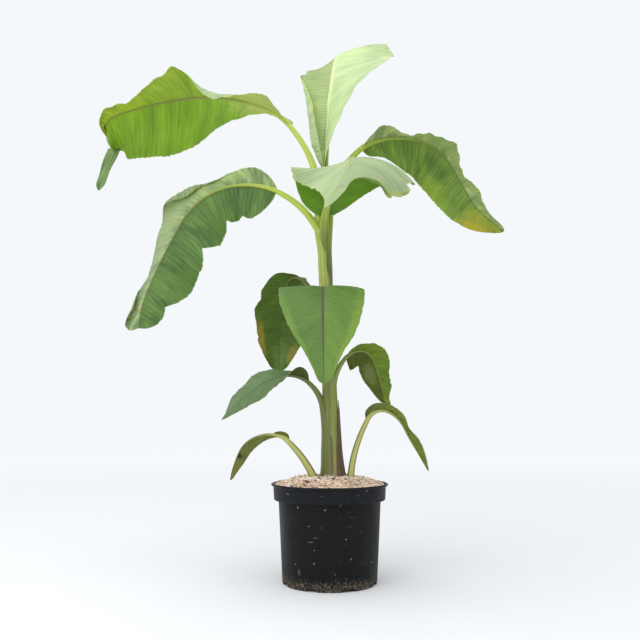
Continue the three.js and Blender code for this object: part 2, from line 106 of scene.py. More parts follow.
# Splashes and scuffs on the front of the pot in mm: across, up, half-width, half-height, strength.
POT_MARKS = [
    (-96, 211, 3, 2, 0.5), (-19, 210, 2.5, 1.5, 0.4), (62, 210, 2.5, 1.5, 0.4),
    (22, 189, 2.5, 2, 0.7), (-73, 182, 2, 4, 0.8), (-33, 118, 9, 1.5, 0.25), (-44, 108, 8, 2, 0.3),
    (46, 71, 2, 3, 0.5), (-78, 56, 2, 3, 0.4), (-70, 40, 4, 9, 0.2), (94, 57, 2.5, 2, 0.6),
    (-20, 140, 1.5, 1.5, 0.5), (70, 130, 1.5, 2, 0.4), (10, 40, 2, 1.5, 0.5),
]


def half(
    widths, lift, curl=(-20,), fold=(0.5,), spread=1.0, ripple=3, waves=4, shoulder=0.1, end=0.05,
    notches=(),
):
    """One half of a blade, in millimetres and degrees. At even steps along the midrib: half-widths,
    angle to the blade's level at the midrib, how much further the margin is turned (up and over is
    above 0), and where across the half that turn is centred. spread is how much of the half the turn
    takes. ripple and waves are the margin's, shoulder and end the round parts at base and tip, and
    notches are (place along, share of the width, length along)."""
    return SimpleNamespace(
        widths=[w * MM for w in widths], lift=lift, curl=curl, fold=fold, spread=spread,
        ripple=ripple * MM, waves=waves, shoulder=shoulder, end=end, notches=notches,
    )


def leaf(name, foot, lengths, widths, heading, pitch, left, right, sheath=0, wrap=100, **look):
    """One leaf, in millimetres and degrees. lengths are stalk, blade; widths are the stalk's at its
    foot and at the blade. heading and pitch are given at the stalk's foot, at the blade's base and
    then evenly along the blade. sheath is how far the foot runs down the stem, and wrap how far
    round. look holds colours, the number of veins, the strength of streaks and light through it,
    patches (centre and size on the blade's map, colour, strength) and bands along the stalk (place
    round it, reach, colour, strength)."""
    return SimpleNamespace(
        name=name, foot=np.array(foot) * MM, stalk=lengths[0] * MM, blade=lengths[1] * MM,
        widths=(widths[0] * MM, widths[1] * MM), heading=heading, pitch=pitch,
        left=left, right=right, sheath=sheath * MM, wrap=wrap, look=look,
    )


LEAVES = [
    leaf(
        "leaf_top_left", [-27, 4, 868], [295, 565], [26, 15],
        [170, 168, 170, 174, 178, 182, 184, 186, 190, 190], [100, 48, 29, 17, 5, -5, -13, -19, -28, -125],
        right=half(
            [40, 80, 100, 130, 150, 148, 135, 120, 90], [35, 24, 16, 0, -28, -40, -40, -38, 18], waves=6,
        ),
        left=half(
            [60, 85, 85, 80, 128, 114, 92, 98, 72], [-6, 4, 5, 8, 22, 0, -14, -8, 10],
            curl=[0, 0, -40, -75, -15, 0, 0, 0, 0], waves=2, ripple=2,
        ),
        sheath=230, wrap=95,
        upper=0xC8D8B4, under=0x86AE36, left_under=0x90AC40, rib=0x98A050, veins=46, streaks=0.26,
        through=0.5,
        patches=[
            # The second patch, dark at the midrib near the tip, is painted shadow in the hollow where the
            # midrib kinks down.
            ((0.5, 0.1), (1.1, 0.3), 0xB4C47C, 0.85), ((0.47, 0.96), (0.12, 0.03), 0x46601C, 0.85),
            ((0.1, 0.98), (0.2, 0.03), 0x9C8A4A, 0.5),
        ],
        sheath_tone=0xB4C060,
    ),
    leaf(
        "leaf_mid_left", [-26, -4, 850], [151, 560], [21, 14],
        [185, 186, 186, 188, 190, 190, 190], [64, 22, -6, -38, -64, -66, -70, -88],
        right=half(
            [25, 68, 60, 105, 70, 62, 58, 75, 70], [60, 66, 36, 58, 44, 30, 20, 22, 30],
            curl=[185], fold=[1.2, 1.2, 0.9, 0.62, 1.2, 1.2, 1.2, 0.75, 1.1], spread=0.25, ripple=2,
        ),
        left=half(
            [60, 92, 96, 112, 116, 100, 102, 68, 40], [-75, -82, -80, -78, -76, -76, -76, -70, -60],
            curl=[-5], ripple=9,
            notches=[(0.18, 0.12, 0.05), (0.3, 0.16, 0.05), (0.54, 0.28, 0.08), (0.86, 0.2, 0.06)],
        ),
        sheath=300, wrap=120,
        upper=0xA0B480, left_upper=0x60843E, under=0xA6BA8C, rib=0x86904A, veins=46, streaks=0.6,
        patches=[
            ((0.1, 0.32), (0.22, 0.12), 0x648C2C, 0.6), ((0.12, 0.74), (0.2, 0.12), 0x628A30, 0.6),
            ((0.2, 0.47), (0.2, 0.05), 0x40682A, 0.5), ((0.25, 0.2), (0.25, 0.06), 0x4C6C34, 0.45),
            ((0.8, 0.5), (0.3, 0.3), 0xAABC90, 0.7), ((0.74, 0.9), (0.1, 0.03), 0x8A6A3A, 0.8),
        ],
        sheath_tone=0xB2BC60,
    ),
    leaf(
        "leaf_top_new", [-14, 11, 880], [140, 570], [20, 20],
        [80, 66, 64, 70, 90, 95], [92, 82, 80, 74, 30, -30],
        right=half([30, 85, 115, 135, 155, 165, 140, 80, 20], [75, 62, 48, 32, 12, 4, 25, 28, 20]),
        left=half(
            [30, 70, 84, 92, 98, 78, 45, 20, 10], [20, 14, 10, 5, 0, -22, -50, -60, -60],
            curl=[150], fold=[0.5, 0.55, 0.65, 0.75, 0.95, 1.2, 1.2, 1.2, 1.2], spread=0.3, ripple=2,
        ),
        sheath=60, wrap=100,
        upper=0xC8DABF, left_upper=0xA6BA8E, under=0xD2E2BE, rib=0xE6F0CC, veins=60, streaks=0.14,
        through=0.5,
        sheath_tone=0xB0BE60,
    ),
    leaf(
        "leaf_top_right", [0, 6, 872], [238, 495], [24, 16],
        [20, 12, 0, -8, -10, -5, 0], [96, 38, 16, -2, -20, -46, -62, -66, -60, -38, -45],
        right=half(
            [30, 85, 90, 95, 105, 110, 85, 55, 15], [5, 12, -18, 0, 14, 0, 12, -4, 0], curl=[-10], ripple=2,
        ),
        left=half([35, 50, 90, 105, 100, 88, 72, 45, 10], [-40, -30, -42, -48, -55, -60, -58, -52, -50]),
        sheath=260, wrap=100,
        upper=0x8CA88A, under=0xB8C890, left_under=0x8AA84A, rib=0x6F8A38, veins=42, streaks=0.5,
        patches=[
            ((0.85, 0.55), (0.3, 0.4), 0xA6BC7C, 0.6), ((0.3, 0.5), (0.16, 0.16), 0x5C7C32, 0.55),
            ((0.16, 0.66), (0.14, 0.08), 0x6E902E, 0.5), ((0.0, 0.6), (0.3, 0.2), 0x9CB838, 0.6),
            ((0.2, 0.88), (0.4, 0.14), 0xB4B43A, 0.65), ((0.05, 0.86), (0.2, 0.1), 0xC4BC38, 0.6),
            ((0.5, 1.0), (0.4, 0.02), 0x7A6A3A, 0.7),
        ],
        sheath_tone=0x6A742C,
    ),
    leaf(
        "leaf_top_front", [-13, -11, 868], [16, 455], [24, 20],
        [-70, -68, -66, -72, -100, -125, -140], [82, 64, 38, -4, -36, -52, -60],
        right=half(
            [40, 80, 120, 145, 145, 110, 75, 45, 10], [25, 8, -22, -32, -32, -25, -20],
            curl=[0, 0, 18, 22, 20, 0, 0], waves=3, ripple=4,
        ),
        left=half(
            [40, 75, 110, 145, 165, 145, 118, 66, 15], [25, 10, 10, 12, 10, -5, -15, 20, 0],
            curl=[0, -20, -50, -55, -60, -60, -50, 0, 0], ripple=6,
            notches=[(0.55, 0.14, 0.05), (0.7, 0.2, 0.05)],
        ),
        sheath=120, wrap=90,
        upper=0xD1DFB2, left_upper=0xC1D0A3, under=0x66941C, rib=0xC2D294, veins=36, streaks=0.2,
        margin=0xCCC862,
        patches=[((0.0, 0.62), (0.03, 0.02), 0x6A5A2E, 0.9), ((0.0, 0.7), (0.07, 0.16), 0xC4CC70, 0.6)],
        sheath_tone=0x7A8438,
    ),
    leaf(
        "leaf_mid_front", [-16, -14, 618], [64, 325], [22, 12],
        [-90, -90, -90, -86], [75, 45, -60, -76, -78],
        right=half([92, 102, 105, 98, 84, 64, 42, 24, 10], [12, 3, -2, -4], shoulder=0.03, ripple=2),
        left=half([92, 98, 98, 94, 84, 68, 44, 28, 10], [12, 3, -2, -4], shoulder=0.03, ripple=2),
        sheath=180, wrap=110,
        # left_upper is lighter than upper: painted sheen on the left half.
        upper=0x6E9244, left_upper=0x80A44E, under=0x86AE5A, rib=0x6E6450, veins=30, streaks=0.17, lean=0.16,
        stalk=0x9AA850,
        patches=[((0.02, 0.6), (0.14, 0.5), 0x9CBC52, 0.7), ((0.98, 0.6), (0.1, 0.5), 0x8CB04A, 0.6)],
        sheath_tone=0x8C9440,
    ),
    leaf(
        "leaf_mid_back", [-24, 6, 640], [106, 345], [20, 12],
        [145, 130, 105, 88], [76, 42, -45, -80, -88],
        right=half([15, 20, 60, 85, 82, 76, 64, 42, 18], [20, 0, 0, -10, -10], waves=3),
        left=half(
            [12, 16, 44, 60, 82, 74, 62, 42, 18], [40, 30, 40, 20, -10, -15, -15, -10, -10],
            waves=3, notches=[(0.42, 0.15, 0.05)],
        ),
        sheath=200, wrap=110,
        # These dark greens, the stalk's too, are painted shade: the leaf hangs at the back, in the shade of
        # the leaves above.
        upper=0x4E6628, under=0x5F7E26, rib=0x566E26, veins=34, stalk=0x66742E,
        patches=[
            ((0.07, 0.7), (0.12, 0.22), 0xBCA640, 0.6), ((0.9, 0.86), (0.2, 0.12), 0xB4A03C, 0.55),
            ((0.5, 0.9), (0.4, 0.16), 0x7C9850, 0.6),
        ],
        sheath_tone=0x8C9440,
    ),
    leaf(
        "leaf_low_left", [-12, -4, 392], [92, 248], [22, 12],
        [180, 190, 195, 195], [88, 36, -10, -34, -42, -52],
        right=half([15, 30, 40, 48, 50, 46, 38, 24, 5], [60, 30, 40, 40, 40, 35, 30, 20, 0], waves=3),
        left=half([15, 30, 30, 38, 42, 38, 32, 20, 5], [75, 60, -5, -28, -33, -32, -34, -25, -20], waves=3),
        sheath=180, wrap=95,
        upper=0x7B9C68, left_upper=0x759160, under=0x5C6A2C, rib=0x7C9A66, veins=30, streaks=0.16, lean=0.1,
        stalk=0x6A7634,
        patches=[((0.5, 1.0), (0.5, 0.02), 0x5A5A4A, 0.8), ((0.75, 0.2), (0.4, 0.2), 0x64864C, 0.6)],
        sheath_tone=0x6E7430,
    ),
    leaf(
        "leaf_low_right", [8, -4, 458], [82, 220], [18, 11],
        [0, 20, 45, 50, 50], [84, 46, -5, -62, -66, -70],
        right=half([20, 35, 45, 44, 44, 42, 38, 26, 24], [30, 35, 25, 0, -10, -10], waves=3, end=0.02),
        left=half([52, 54, 46, 40, 45, 42, 32, 22, 8], [-45, -50, -40, -30, -20, -10], waves=3),
        sheath=120, wrap=95,
        # left_under is dark olive: painted shade on the half that hangs in shadow. The first patch lightens
        # that half again where the shade lets up.
        upper=0xA2B088, under=0x86A43D, left_under=0x647429, rib=0x8CA04C, veins=28, stalk=0x8C9A48,
        patches=[((0.25, 0.6), (0.25, 0.2), 0x8C9C5C, 0.7), ((0.7, 0.93), (0.5, 0.06), 0x98A826, 0.8)],
        sheath_tone=0x909A42,
    ),
    leaf(
        "leaf_foot_left", [-26, -8, 218], [136, 204], [24, 15],
        [180, 184, 188, 190], [70, 42, 8, -14, -36, -66, -72, -84],
        right=half(
            [18, 10, 10, 20, 25, 25, 20, 12, 4], [80, 70, -40, -60, -60, -60, -30, 0, 0], waves=3, ripple=2,
        ),
        left=half([5, 6, 14, 22, 26, 26, 22, 14, 5], [-70], ripple=2),
        upper=0x7A8034, under=0x6B7F38, rib=0x8C9040, veins=22, stalk=0xC6C872,
        bands=[(0.0, 0.07, 0x5E3C38, 0.9), (0.27, 0.11, 0x66762E, 0.85)],
        patches=[((0.46, 0.7), (0.3, 0.05), 0x1E1408, 1.0), ((0.5, 0.99), (0.6, 0.025), 0x3A2C1A, 1.0)],
    ),
    leaf(
        "leaf_foot_right", [47, -6, 212], [176, 230], [21, 14],
        [0, -5, -10, -10], [90, 60, 22, -24, -46, -66, -62, -60, -62, -60],
        right=half(
            [16, 20, 22, 20, 12, 26, 22, 16, 4], [70, 70, 65, 60, 60, 55, 55, 50, 40], waves=3, ripple=2,
        ),
        left=half(
            [14, 18, 20, 18, 10, 22, 20, 14, 3], [75, 75, 75, 70, 70, 65, 60, 60, 50], waves=3, ripple=2,
        ),
        upper=0x6E8C3C, under=0x8F9C45, rib=0x9AA04A, veins=24, stalk=0xC6C872,
        bands=[(0.33, 0.1, 0x7A5A48, 0.7), (0.6, 0.07, 0x4E5426, 0.9)],
        patches=[((0.5, 1.0), (0.5, 0.02), 0x6A5A3A, 0.7), ((0.9, 0.06), (0.3, 0.12), 0x5A6428, 0.6)],
    ),
]


def paint(code, alpha=1.0):
    """A colour written as 0xRRGGBB, as linear red, green, blue and alpha."""
    parts = [((code >> shift) & 255) / 255 for shift in (16, 8, 0)]
    linear = [p / 12.92 if p <= 0.04045 else ((p + 0.055) / 1.055) ** 2.4 for p in parts]
    return (*linear, alpha)


# ---------------------------------------------------------------- tools for shapes


def deselect():
    """Leaves nothing selected."""
    bpy.ops.object.select_all(action="DESELECT")


def coordinates(piece):
    """The vertices of a piece as an array of rows x, y, z."""
    flat = np.empty(len(piece.data.vertices) * 3)
    piece.data.vertices.foreach_get("co", flat)
    return flat.reshape(-1, 3)


def place_vertices(piece, points):
    piece.data.vertices.foreach_set("co", np.asarray(points, np.float32).ravel())
    piece.data.update()


def rename(piece, name):
    piece.name = name
    piece.data.name = name
    return piece


def apply_modifier(piece, kind, **settings):
    """Adds a modifier, sets it and applies it."""
    modifier = piece.modifiers.new(kind.title(), kind)
    for name, value in settings.items():
        setattr(modifier, name, value)
    bpy.context.view_layer.objects.active = piece
    bpy.ops.object.modifier_apply(modifier=modifier.name)


def edit_all(piece, *steps):
    """Runs edit-mode steps on the whole of a piece."""
    deselect()
    piece.select_set(True)
    bpy.context.view_layer.objects.active = piece
    bpy.ops.object.mode_set(mode="EDIT")
    bpy.ops.mesh.select_all(action="SELECT")
    for step in steps:
        step()
    bpy.ops.object.mode_set(mode="OBJECT")


def face_outwards():
    bpy.ops.mesh.normals_make_consistent(inside=False)


def merge_seams():
    bpy.ops.mesh.remove_doubles(threshold=1e-6)


def close_ends():
    bpy.ops.mesh.fill_holes(sides=0)


def sheet(name, columns, rows, surface):
    """A grid shaped to a surface that is given by places across (-1 to 1) and along (0 to 1), and
    returns points by row along and column across."""
    deselect()
    bpy.ops.mesh.primitive_grid_add(x_subdivisions=columns, y_subdivisions=rows, size=1, calc_uvs=True)
    piece = rename(bpy.context.active_object, name)
    piece.data.uv_layers[0].name = BLADE_MAP
    place_vertices(piece, surface(np.linspace(-1, 1, columns + 1), np.linspace(0, 1, rows + 1)))
    return piece


def tube(name, around, rows, surface):
    """A grid rolled into a closed tube, given by places round (0 to 1) and along (0 to 1)."""

    def rolled(across, along):
        points = surface(0.5 * (across[None, :-1] + 1), along[:, None])
        return np.concatenate([points, points[:, :1]], 1)

    piece = sheet(name, around, rows, rolled)
    edit_all(piece, merge_seams, close_ends, face_outwards)
    return piece


def turned(name, profile, sides):
    """A body of revolution: a filled circle extruded and resized through (radius, height) points."""
    deselect()
    radius, height = profile[0]
    bpy.ops.mesh.primitive_circle_add(
        vertices=sides, radius=radius, fill_type="NGON", location=(0, 0, height)
    )
    piece = rename(bpy.context.active_object, name)
    bpy.ops.object.transform_apply(location=True, rotation=False, scale=False)
    bpy.ops.object.mode_set(mode="EDIT")
    bpy.ops.mesh.select_all(action="SELECT")
    for next_radius, next_height in profile[1:]:
        bpy.ops.mesh.extrude_region_move(TRANSFORM_OT_translate={"value": (0, 0, next_height - height)})
        ratio = next_radius / radius
        bpy.ops.transform.resize(value=(ratio, ratio, 1), center_override=(0, 0, next_height))
        radius, height = next_radius, next_height
    bpy.ops.mesh.select_all(action="SELECT")
    bpy.ops.mesh.normals_make_consistent(inside=False)
    bpy.ops.object.mode_set(mode="OBJECT")
    return piece


def smooth(piece, degrees=40):
    deselect()
    piece.select_set(True)
    bpy.context.view_layer.objects.active = piece
    bpy.ops.object.shade_smooth_by_angle(angle=math.radians(degrees))


def hand_over(piece, slot, materials, *nodes):
    """Gives a finished piece its materials and its body, and hides the CAD nodes it stands for. slot is not
    used.
    """
    if materials:
        piece.data.materials.clear()
    for material in materials:
        piece.data.materials.append(material)
    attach(piece, BODY)
    if nodes:
        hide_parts(*nodes)


# ---------------------------------------------------------------- tools for materials


class Net:
    """Adds nodes to a tree. Each input takes a socket or a plain value."""

    def __init__(self, tree):
        self.tree = tree

    def add(self, kind, values=None, **settings):
        node = self.tree.nodes.new("ShaderNode" + kind)
        for name, value in settings.items():
            setattr(node, name, value)
        for name, value in (values or {}).items():
            self.put(value, node.inputs[name])
        return node

    def put(self, value, socket):
        if isinstance(value, bpy.types.NodeSocket):
            self.tree.links.new(value, socket)
        else:
            socket.default_value = value

    def math(self, operation, a, b=0.0, c=0.0):
        return self.add("Math", {0: a, 1: b, 2: c}, operation=operation).outputs[0]

    def plus(self, a, b):
        return self.math("ADD", a, b)

    def minus(self, a, b):
        return self.math("SUBTRACT", a, b)

    def times(self, a, b):
        return self.math("MULTIPLY", a, b)

    def line(self, value, slope, start):
        return self.math("MULTIPLY_ADD", value, slope, start)

    def vector(self, operation, a, b):
        return self.add("VectorMath", {0: a, 1: b}, operation=operation).outputs[0]

    def size(self, vector):
        return self.add("VectorMath", {0: vector}, operation="LENGTH").outputs["Value"]

    def axis(self, vector, name):
        return self.add("SeparateXYZ", {0: vector}).outputs[name]

    def join(self, x, y, z=0.0):
        return self.add("CombineXYZ", {0: x, 1: y, 2: z}).outputs[0]

    def mix(self, amount, a, b, blend="MIX"):
        return self.add("Mix", {0: amount, 6: a, 7: b}, data_type="RGBA", blend_type=blend).outputs[2]

    def shaded(self, colour, share):
        return self.mix(1.0, colour, (*share, 1), "MULTIPLY")

    def away(self, place, centre, size):
        """How far a place is from a centre, in sizes."""
        return self.size(self.vector("DIVIDE", self.vector("SUBTRACT", place, centre), size))

    def step(self, value, low, high, first=0.0, last=1.0):
        """Goes smoothly from first to last as value goes from low to high."""
        sockets = {"Value": value, "From Min": low, "From Max": high, "To Min": first, "To Max": last}
        return self.add("MapRange", sockets, interpolation_type="SMOOTHSTEP").outputs["Result"]

    def noise(self, vector, scale, detail=3.0, roughness=0.55, distortion=0.0):
        sockets = {
            "Vector": vector, "Scale": scale, "Detail": detail, "Roughness": roughness,
            "Distortion": distortion,
        }
        return self.add("TexNoise", sockets).outputs["Fac"]

    def stretch(self, vector, x, y, z=1.0):
        return self.add("Mapping", {"Vector": vector, "Scale": (x, y, z)}).outputs["Vector"]


def new_group(name, inputs, outputs):
    """A shader node group. inputs and outputs give each socket's kind: Float, Color or Vector.
    Returns its net, its input sockets by name and its output node's."""
    net = Net(bpy.data.node_groups.new(name, "ShaderNodeTree"))
    for direction, sockets in (("INPUT", inputs), ("OUTPUT", outputs)):
        for label, kind in sockets.items():
            net.tree.interface.new_socket(label, in_out=direction, socket_type="NodeSocket" + kind)
    ends = [net.tree.nodes.new(kind) for kind in ("NodeGroupInput", "NodeGroupOutput")]
    return net, ends[0].outputs, ends[1].inputs


def use_group(net, tree, values):
    node = net.tree.nodes.new("ShaderNodeGroup")
    node.node_tree = tree
    for name, value in values.items():
        net.put(value, node.inputs[name])
    return node.outputs


def new_material(name, roughness=0.5):
    """A material with one Principled shader. Returns its net and the shader's inputs."""
    material = bpy.data.materials.new(name)
    material.use_nodes = True
    material.node_tree.nodes.clear()
    net = Net(material.node_tree)
    net.material = material
    shader = net.add("BsdfPrincipled", {"Roughness": roughness})
    net.add("OutputMaterial", {0: shader.outputs[0]})
    return net, shader.inputs


def finish(net, inputs, colour, roughness=None, relief=None, depth=0.0, strength=0.5):
    """Gives a material its colour and, where given, its roughness and relief, and returns it."""
    net.put(colour, inputs["Base Color"])
    if roughness is not None:
        net.put(roughness, inputs["Roughness"])
    if relief is not None:
        bump = net.add("Bump", {"Height": relief, "Distance": depth, "Strength": strength})
        net.put(bump.outputs[0], inputs["Normal"])
    return net.material


def let_light_through(net, shader_inputs, share, colour):
    """Mixes a share of light that shines through into a thin piece's shader."""
    shader = shader_inputs["Base Color"].node
    output = next(n for n in net.tree.nodes if n.type == "OUTPUT_MATERIAL")
    through = net.add("BsdfTranslucent", {"Color": colour})
    both = net.add("MixShader", {0: share, 1: shader.outputs[0], 2: through.outputs[0]})
    net.put(both.outputs[0], output.inputs[0])


def object_place(net):
    return net.add("TexCoord").outputs["Object"]


def blade_place(net):
    return net.add("UVMap", uv_map=BLADE_MAP).outputs[0]


def vein_group():
    """Leaf tissue: side veins, streaks between them, a band along the midrib and a pale margin."""
    inputs = {
        "Map": "Vector", "Place": "Vector", "Colour": "Color", "Rib colour": "Color",
        "Margin colour": "Color", "Veins": "Float", "Streaks": "Float", "Rib width": "Float",
        "Lean": "Float",
    }
    outputs = {"Colour": "Color", "Roughness": "Float", "Height": "Float"}
    net, given, result = new_group("Leaf tissue", inputs, outputs)
    split = net.add("SeparateXYZ", {0: given["Map"]}).outputs
    out = net.math("ABSOLUTE", net.line(split["X"], 2.0, -1.0))
    # Side veins leave the midrib at even places, lean towards the tip and wander a little.
    leaning = net.times(net.math("POWER", out, 1.4), given["Lean"])
    beside = net.minus(split["Y"], leaning)
    vein_map = net.join(split["X"], beside)
    wander = net.times(net.noise(net.stretch(vein_map, 1.5, 9.0), 3.0, 1.0), 1.6)
    turn = net.times(beside, net.times(given["Veins"], 2 * math.pi))
    wave = net.math("SINE", net.plus(turn, net.times(wander, 2.4)))
    line = net.math("POWER", net.line(wave, 0.5, 0.5), 3.0)
    fine_place = net.vector("MULTIPLY", vein_map, net.join(1.2, given["Veins"]))
    fine = net.noise(fine_place, 2.2, 4.0, 0.6)
    broad_place = net.vector("MULTIPLY", vein_map, net.join(0.6, net.times(given["Veins"], 0.16)))
    broad = net.noise(broad_place, 2.4)
    cloud = net.noise(given["Place"], 9.0, 3.0, 0.5)
    shade = net.times(net.step(broad, 0.3, 0.72, -1.0, 1.0), given["Streaks"])
    shade = net.plus(shade, net.times(net.step(fine, 0.3, 0.7, -0.6, 0.6), given["Streaks"]))
    shade = net.plus(shade, net.step(cloud, 0.3, 0.7, -0.12, 0.12))
    shade = net.plus(shade, net.times(line, net.times(given["Streaks"], -0.5)))
    bright = net.plus(net.times(shade, 0.55), 1.0)
    tint = net.join(bright, net.math("POWER", bright, 0.75), bright)
    base = net.vector("MULTIPLY", given["Colour"], tint)
    margin = net.step(net.plus(out, net.times(fine, 0.03)), 0.985, 1.02)
    colour = net.mix(net.times(margin, 0.7), base, given["Margin colour"])
    width = given["Rib width"]
    rib = net.step(out, net.times(width, 0.5), net.times(width, 1.5), 1.0, 0.0)
    net.put(net.mix(rib, colour, given["Rib colour"]), result["Colour"])
    net.put(net.step(fine, 0.2, 0.8, 0.42, 0.56), result["Roughness"])
    height = net.plus(net.times(line, -0.6), net.times(fine, 0.5))
    net.put(height, result["Height"])
    return net.tree


def patch_group():
    """A ragged patch of another colour round one place of a leaf's map."""
    inputs = {
        "Map": "Vector", "Under": "Color", "Colour": "Color", "Centre": "Vector", "Size": "Vector",
        "Strength": "Float",
    }
    net, given, result = new_group("Leaf patch", inputs, {"Colour": "Color"})
    far = net.away(given["Map"], given["Centre"], given["Size"])
    ragged = net.times(net.noise(net.stretch(given["Map"], 6.0, 22.0), 1.6, 4.0, 0.65), 1.1)
    mask = net.step(net.plus(far, ragged), 0.95, 1.5, 1.0, 0.0)
    mask = net.times(mask, given["Strength"])
    net.put(net.mix(mask, given["Under"], given["Colour"]), result["Colour"])
    return net.tree


# ---------------------------------------------------------------- shape of stem and leaves


def keyed(keys, t):
    """Value at t (0 to 1) along evenly spaced keys, eased a little where two straight runs meet."""
    places = np.arange(len(keys))
    shifts = KEY_SOFTNESS * np.array([-1, -0.5, 0, 0.5, 1])
    total = 0
    for shift in shifts:
        total = total + np.interp(np.clip(t, 0, 1) * (len(keys) - 1) + shift, places, keys)
    return total / len(shifts)


def frame_at(heading, pitch):
    """Along, right and up of a midrib at a heading and pitch in degrees, one row each."""
    h, p = np.radians(heading), np.radians(pitch)
    along = np.stack([np.cos(p) * np.cos(h), np.cos(p) * np.sin(h), np.sin(p)], -1)
    right = np.stack([np.sin(h), -np.cos(h), 0 * h], -1)
    return along, right, np.cross(right, along)


def walk(start, length, heading, pitch):
    """Follows headings and pitches for a length. Returns point, along, right and up by t."""
    steps = WALK_STEPS
    middle = (np.arange(steps) + 0.5) / steps
    moves = frame_at(keyed(heading, middle), keyed(pitch, middle))[0] * (length / steps)
    points = np.vstack([start, start + np.cumsum(moves, 0)])

    def at(t):
        t = np.asarray(t, float)
        x = np.clip(t, 0, 1) * steps
        point = np.stack([np.interp(x, np.arange(steps + 1), points[:, k]) for k in range(3)], -1)
        return point, *frame_at(keyed(heading, t), keyed(pitch, t))

    return at


def stalk_path(frond):
    """The stalk's line, up to where the blade starts."""
    return walk(frond.foot, frond.stalk, frond.heading[:2], frond.pitch[:2])


def midrib_path(frond):
    """The midrib's line, from the stalk's end to the blade's tip."""
    end = stalk_path(frond)(1.0)[0]
    return walk(end, frond.blade, frond.heading[1:], frond.pitch[1:])


def half_width(side, t):
    """Half-width of a blade at t, rounded where the blade starts and where it ends."""
    t = np.clip(t, 0, 1)
    reach = keyed(side.widths, t)
    for place, depth, length in side.notches:
        reach = reach * (1 - depth * np.clip(1 - np.abs(t - place) / length, 0, 1) ** 1.5)
    reach = reach * (1 + 0.02 * ruffle(3 * t, 0, len(side.widths) + int(side.waves)))
    base = np.clip(1 - t / side.shoulder, 0, 1)
    tip = np.clip(1 - (1 - t) / side.end, 0, 1)
    rounding = np.sqrt(np.clip(1 - base ** 2, 0, 1)) * np.sqrt(np.clip(1 - tip ** 2, 0, 1))
    return np.maximum(reach * rounding, BLADE_BASE_HALF_WIDTH * (1 - t) + 0.0004)


def ruffle(t, out, seed):
    """Uneven waves that grow towards a blade's margin, about -1 to 1."""
    draw = np.random.default_rng(seed)
    total = 0 * t
    for _ in range(7):
        along, across = draw.uniform(3, 17), draw.uniform(-1.2, 1.2)
        turns = along * t + across * out + draw.uniform()
        total = total + np.sin(2 * math.pi * turns) / (1 + along / 8)
    return total / 3


def half_surface(side, rib, t, out, hand, pleats, seed):
    """Points of one half of a blade, rows along and columns from the midrib out."""
    point, along, right, up = (a[:, None, :] for a in rib(t))
    reach = half_width(side, t)[:, None]
    lift, curl, fold = (keyed(keys, t)[:, None] for keys in (side.lift, side.curl, side.fold))
    turned = (out[None, 1:] + out[None, :-1]) / 2
    if side.spread < 1:
        turned = ease(fold - side.spread / 2, fold + side.spread / 2, turned)
    turn = np.radians(lift + curl * turned)[..., None]
    moves = (right * hand * np.cos(turn) + up * np.sin(turn)) * (reach * np.diff(out)[None, :])[..., None]
    offset = np.concatenate([np.zeros((len(t), 1, 3)), np.cumsum(moves, 1)], 1)
    last = np.concatenate([turn, turn[:, -1:]], 1)
    normal = -right * hand * np.sin(last) + up * np.cos(last)
    t, out = t[:, None], out[None, :]
    widest = max(side.widths)
    share = np.clip(reach / widest, 0, 1)  # so that narrow places are flatter
    relief = share * min(1, widest / BROAD_HALF_WIDTH)
    wave = side.ripple * out**2 * share * np.sin(2 * math.pi * side.waves * t)
    wave = wave + RUFFLE_HEIGHT * out**1.5 * relief * ruffle(t, out, seed)
    edge = np.minimum(1, 4 * out) * (1 - 0.5 * out)
    pleat = np.sin(2 * math.pi * pleats * t + 2 * ruffle(t, 0, seed + 1))
    wave = wave + PLEAT_HEIGHT * edge * relief * pleat
    sweep = along * (keyed(BLADE_SWEEP, t) * reach * out**1.5)[..., None]
    return point + offset + sweep + normal * wave[..., None]


def blade_surface(frond, seed):
    """The surface of a blade by even places across and along."""
    rib = midrib_path(frond)
    pleats = frond.look["veins"]

    def surface(v, t):
        left = half_surface(frond.left, rib, t, -v[v <= 0][::-1], -1, pleats, seed)
        right = half_surface(frond.right, rib, t, v[v >= 0], 1, pleats, seed + 50)
        return np.concatenate([left[:, ::-1], right[:, 1:]], 1)

    return surface


def stem_radius(z):
    """Radius of the stem, which flares at its foot."""
    h = z - COMPOST_TOP
    taper = STEM_TAPER * (1 - h / (STEM_TOP - COMPOST_TOP))
    return STEM_TOP_RADIUS + taper + STEM_FLARE * np.exp(-h / STEM_FLARE_HEIGHT)


def stem_axis(z):
    """Middle of the stem, which leans a little to the left."""
    x = STEM_FOOT_X + (STEM_TOP_X - STEM_FOOT_X) * (z - COMPOST_TOP) / (STEM_TOP - COMPOST_TOP)
    return np.stack([x, 0 * x, z], -1)


def around_stem(z, radius, angle):
    """Points at a radius and angle round the stem's middle."""
    return stem_axis(z) + np.stack([radius * np.cos(angle), radius * np.sin(angle), 0 * radius], -1)


def ease(low, high, value):
    """0 below low, 1 above high, and smooth between them. low may be the higher one."""
    t = np.clip((value - low) / (high - low), 0, 1)
    return t * t * (3 - 2 * t)


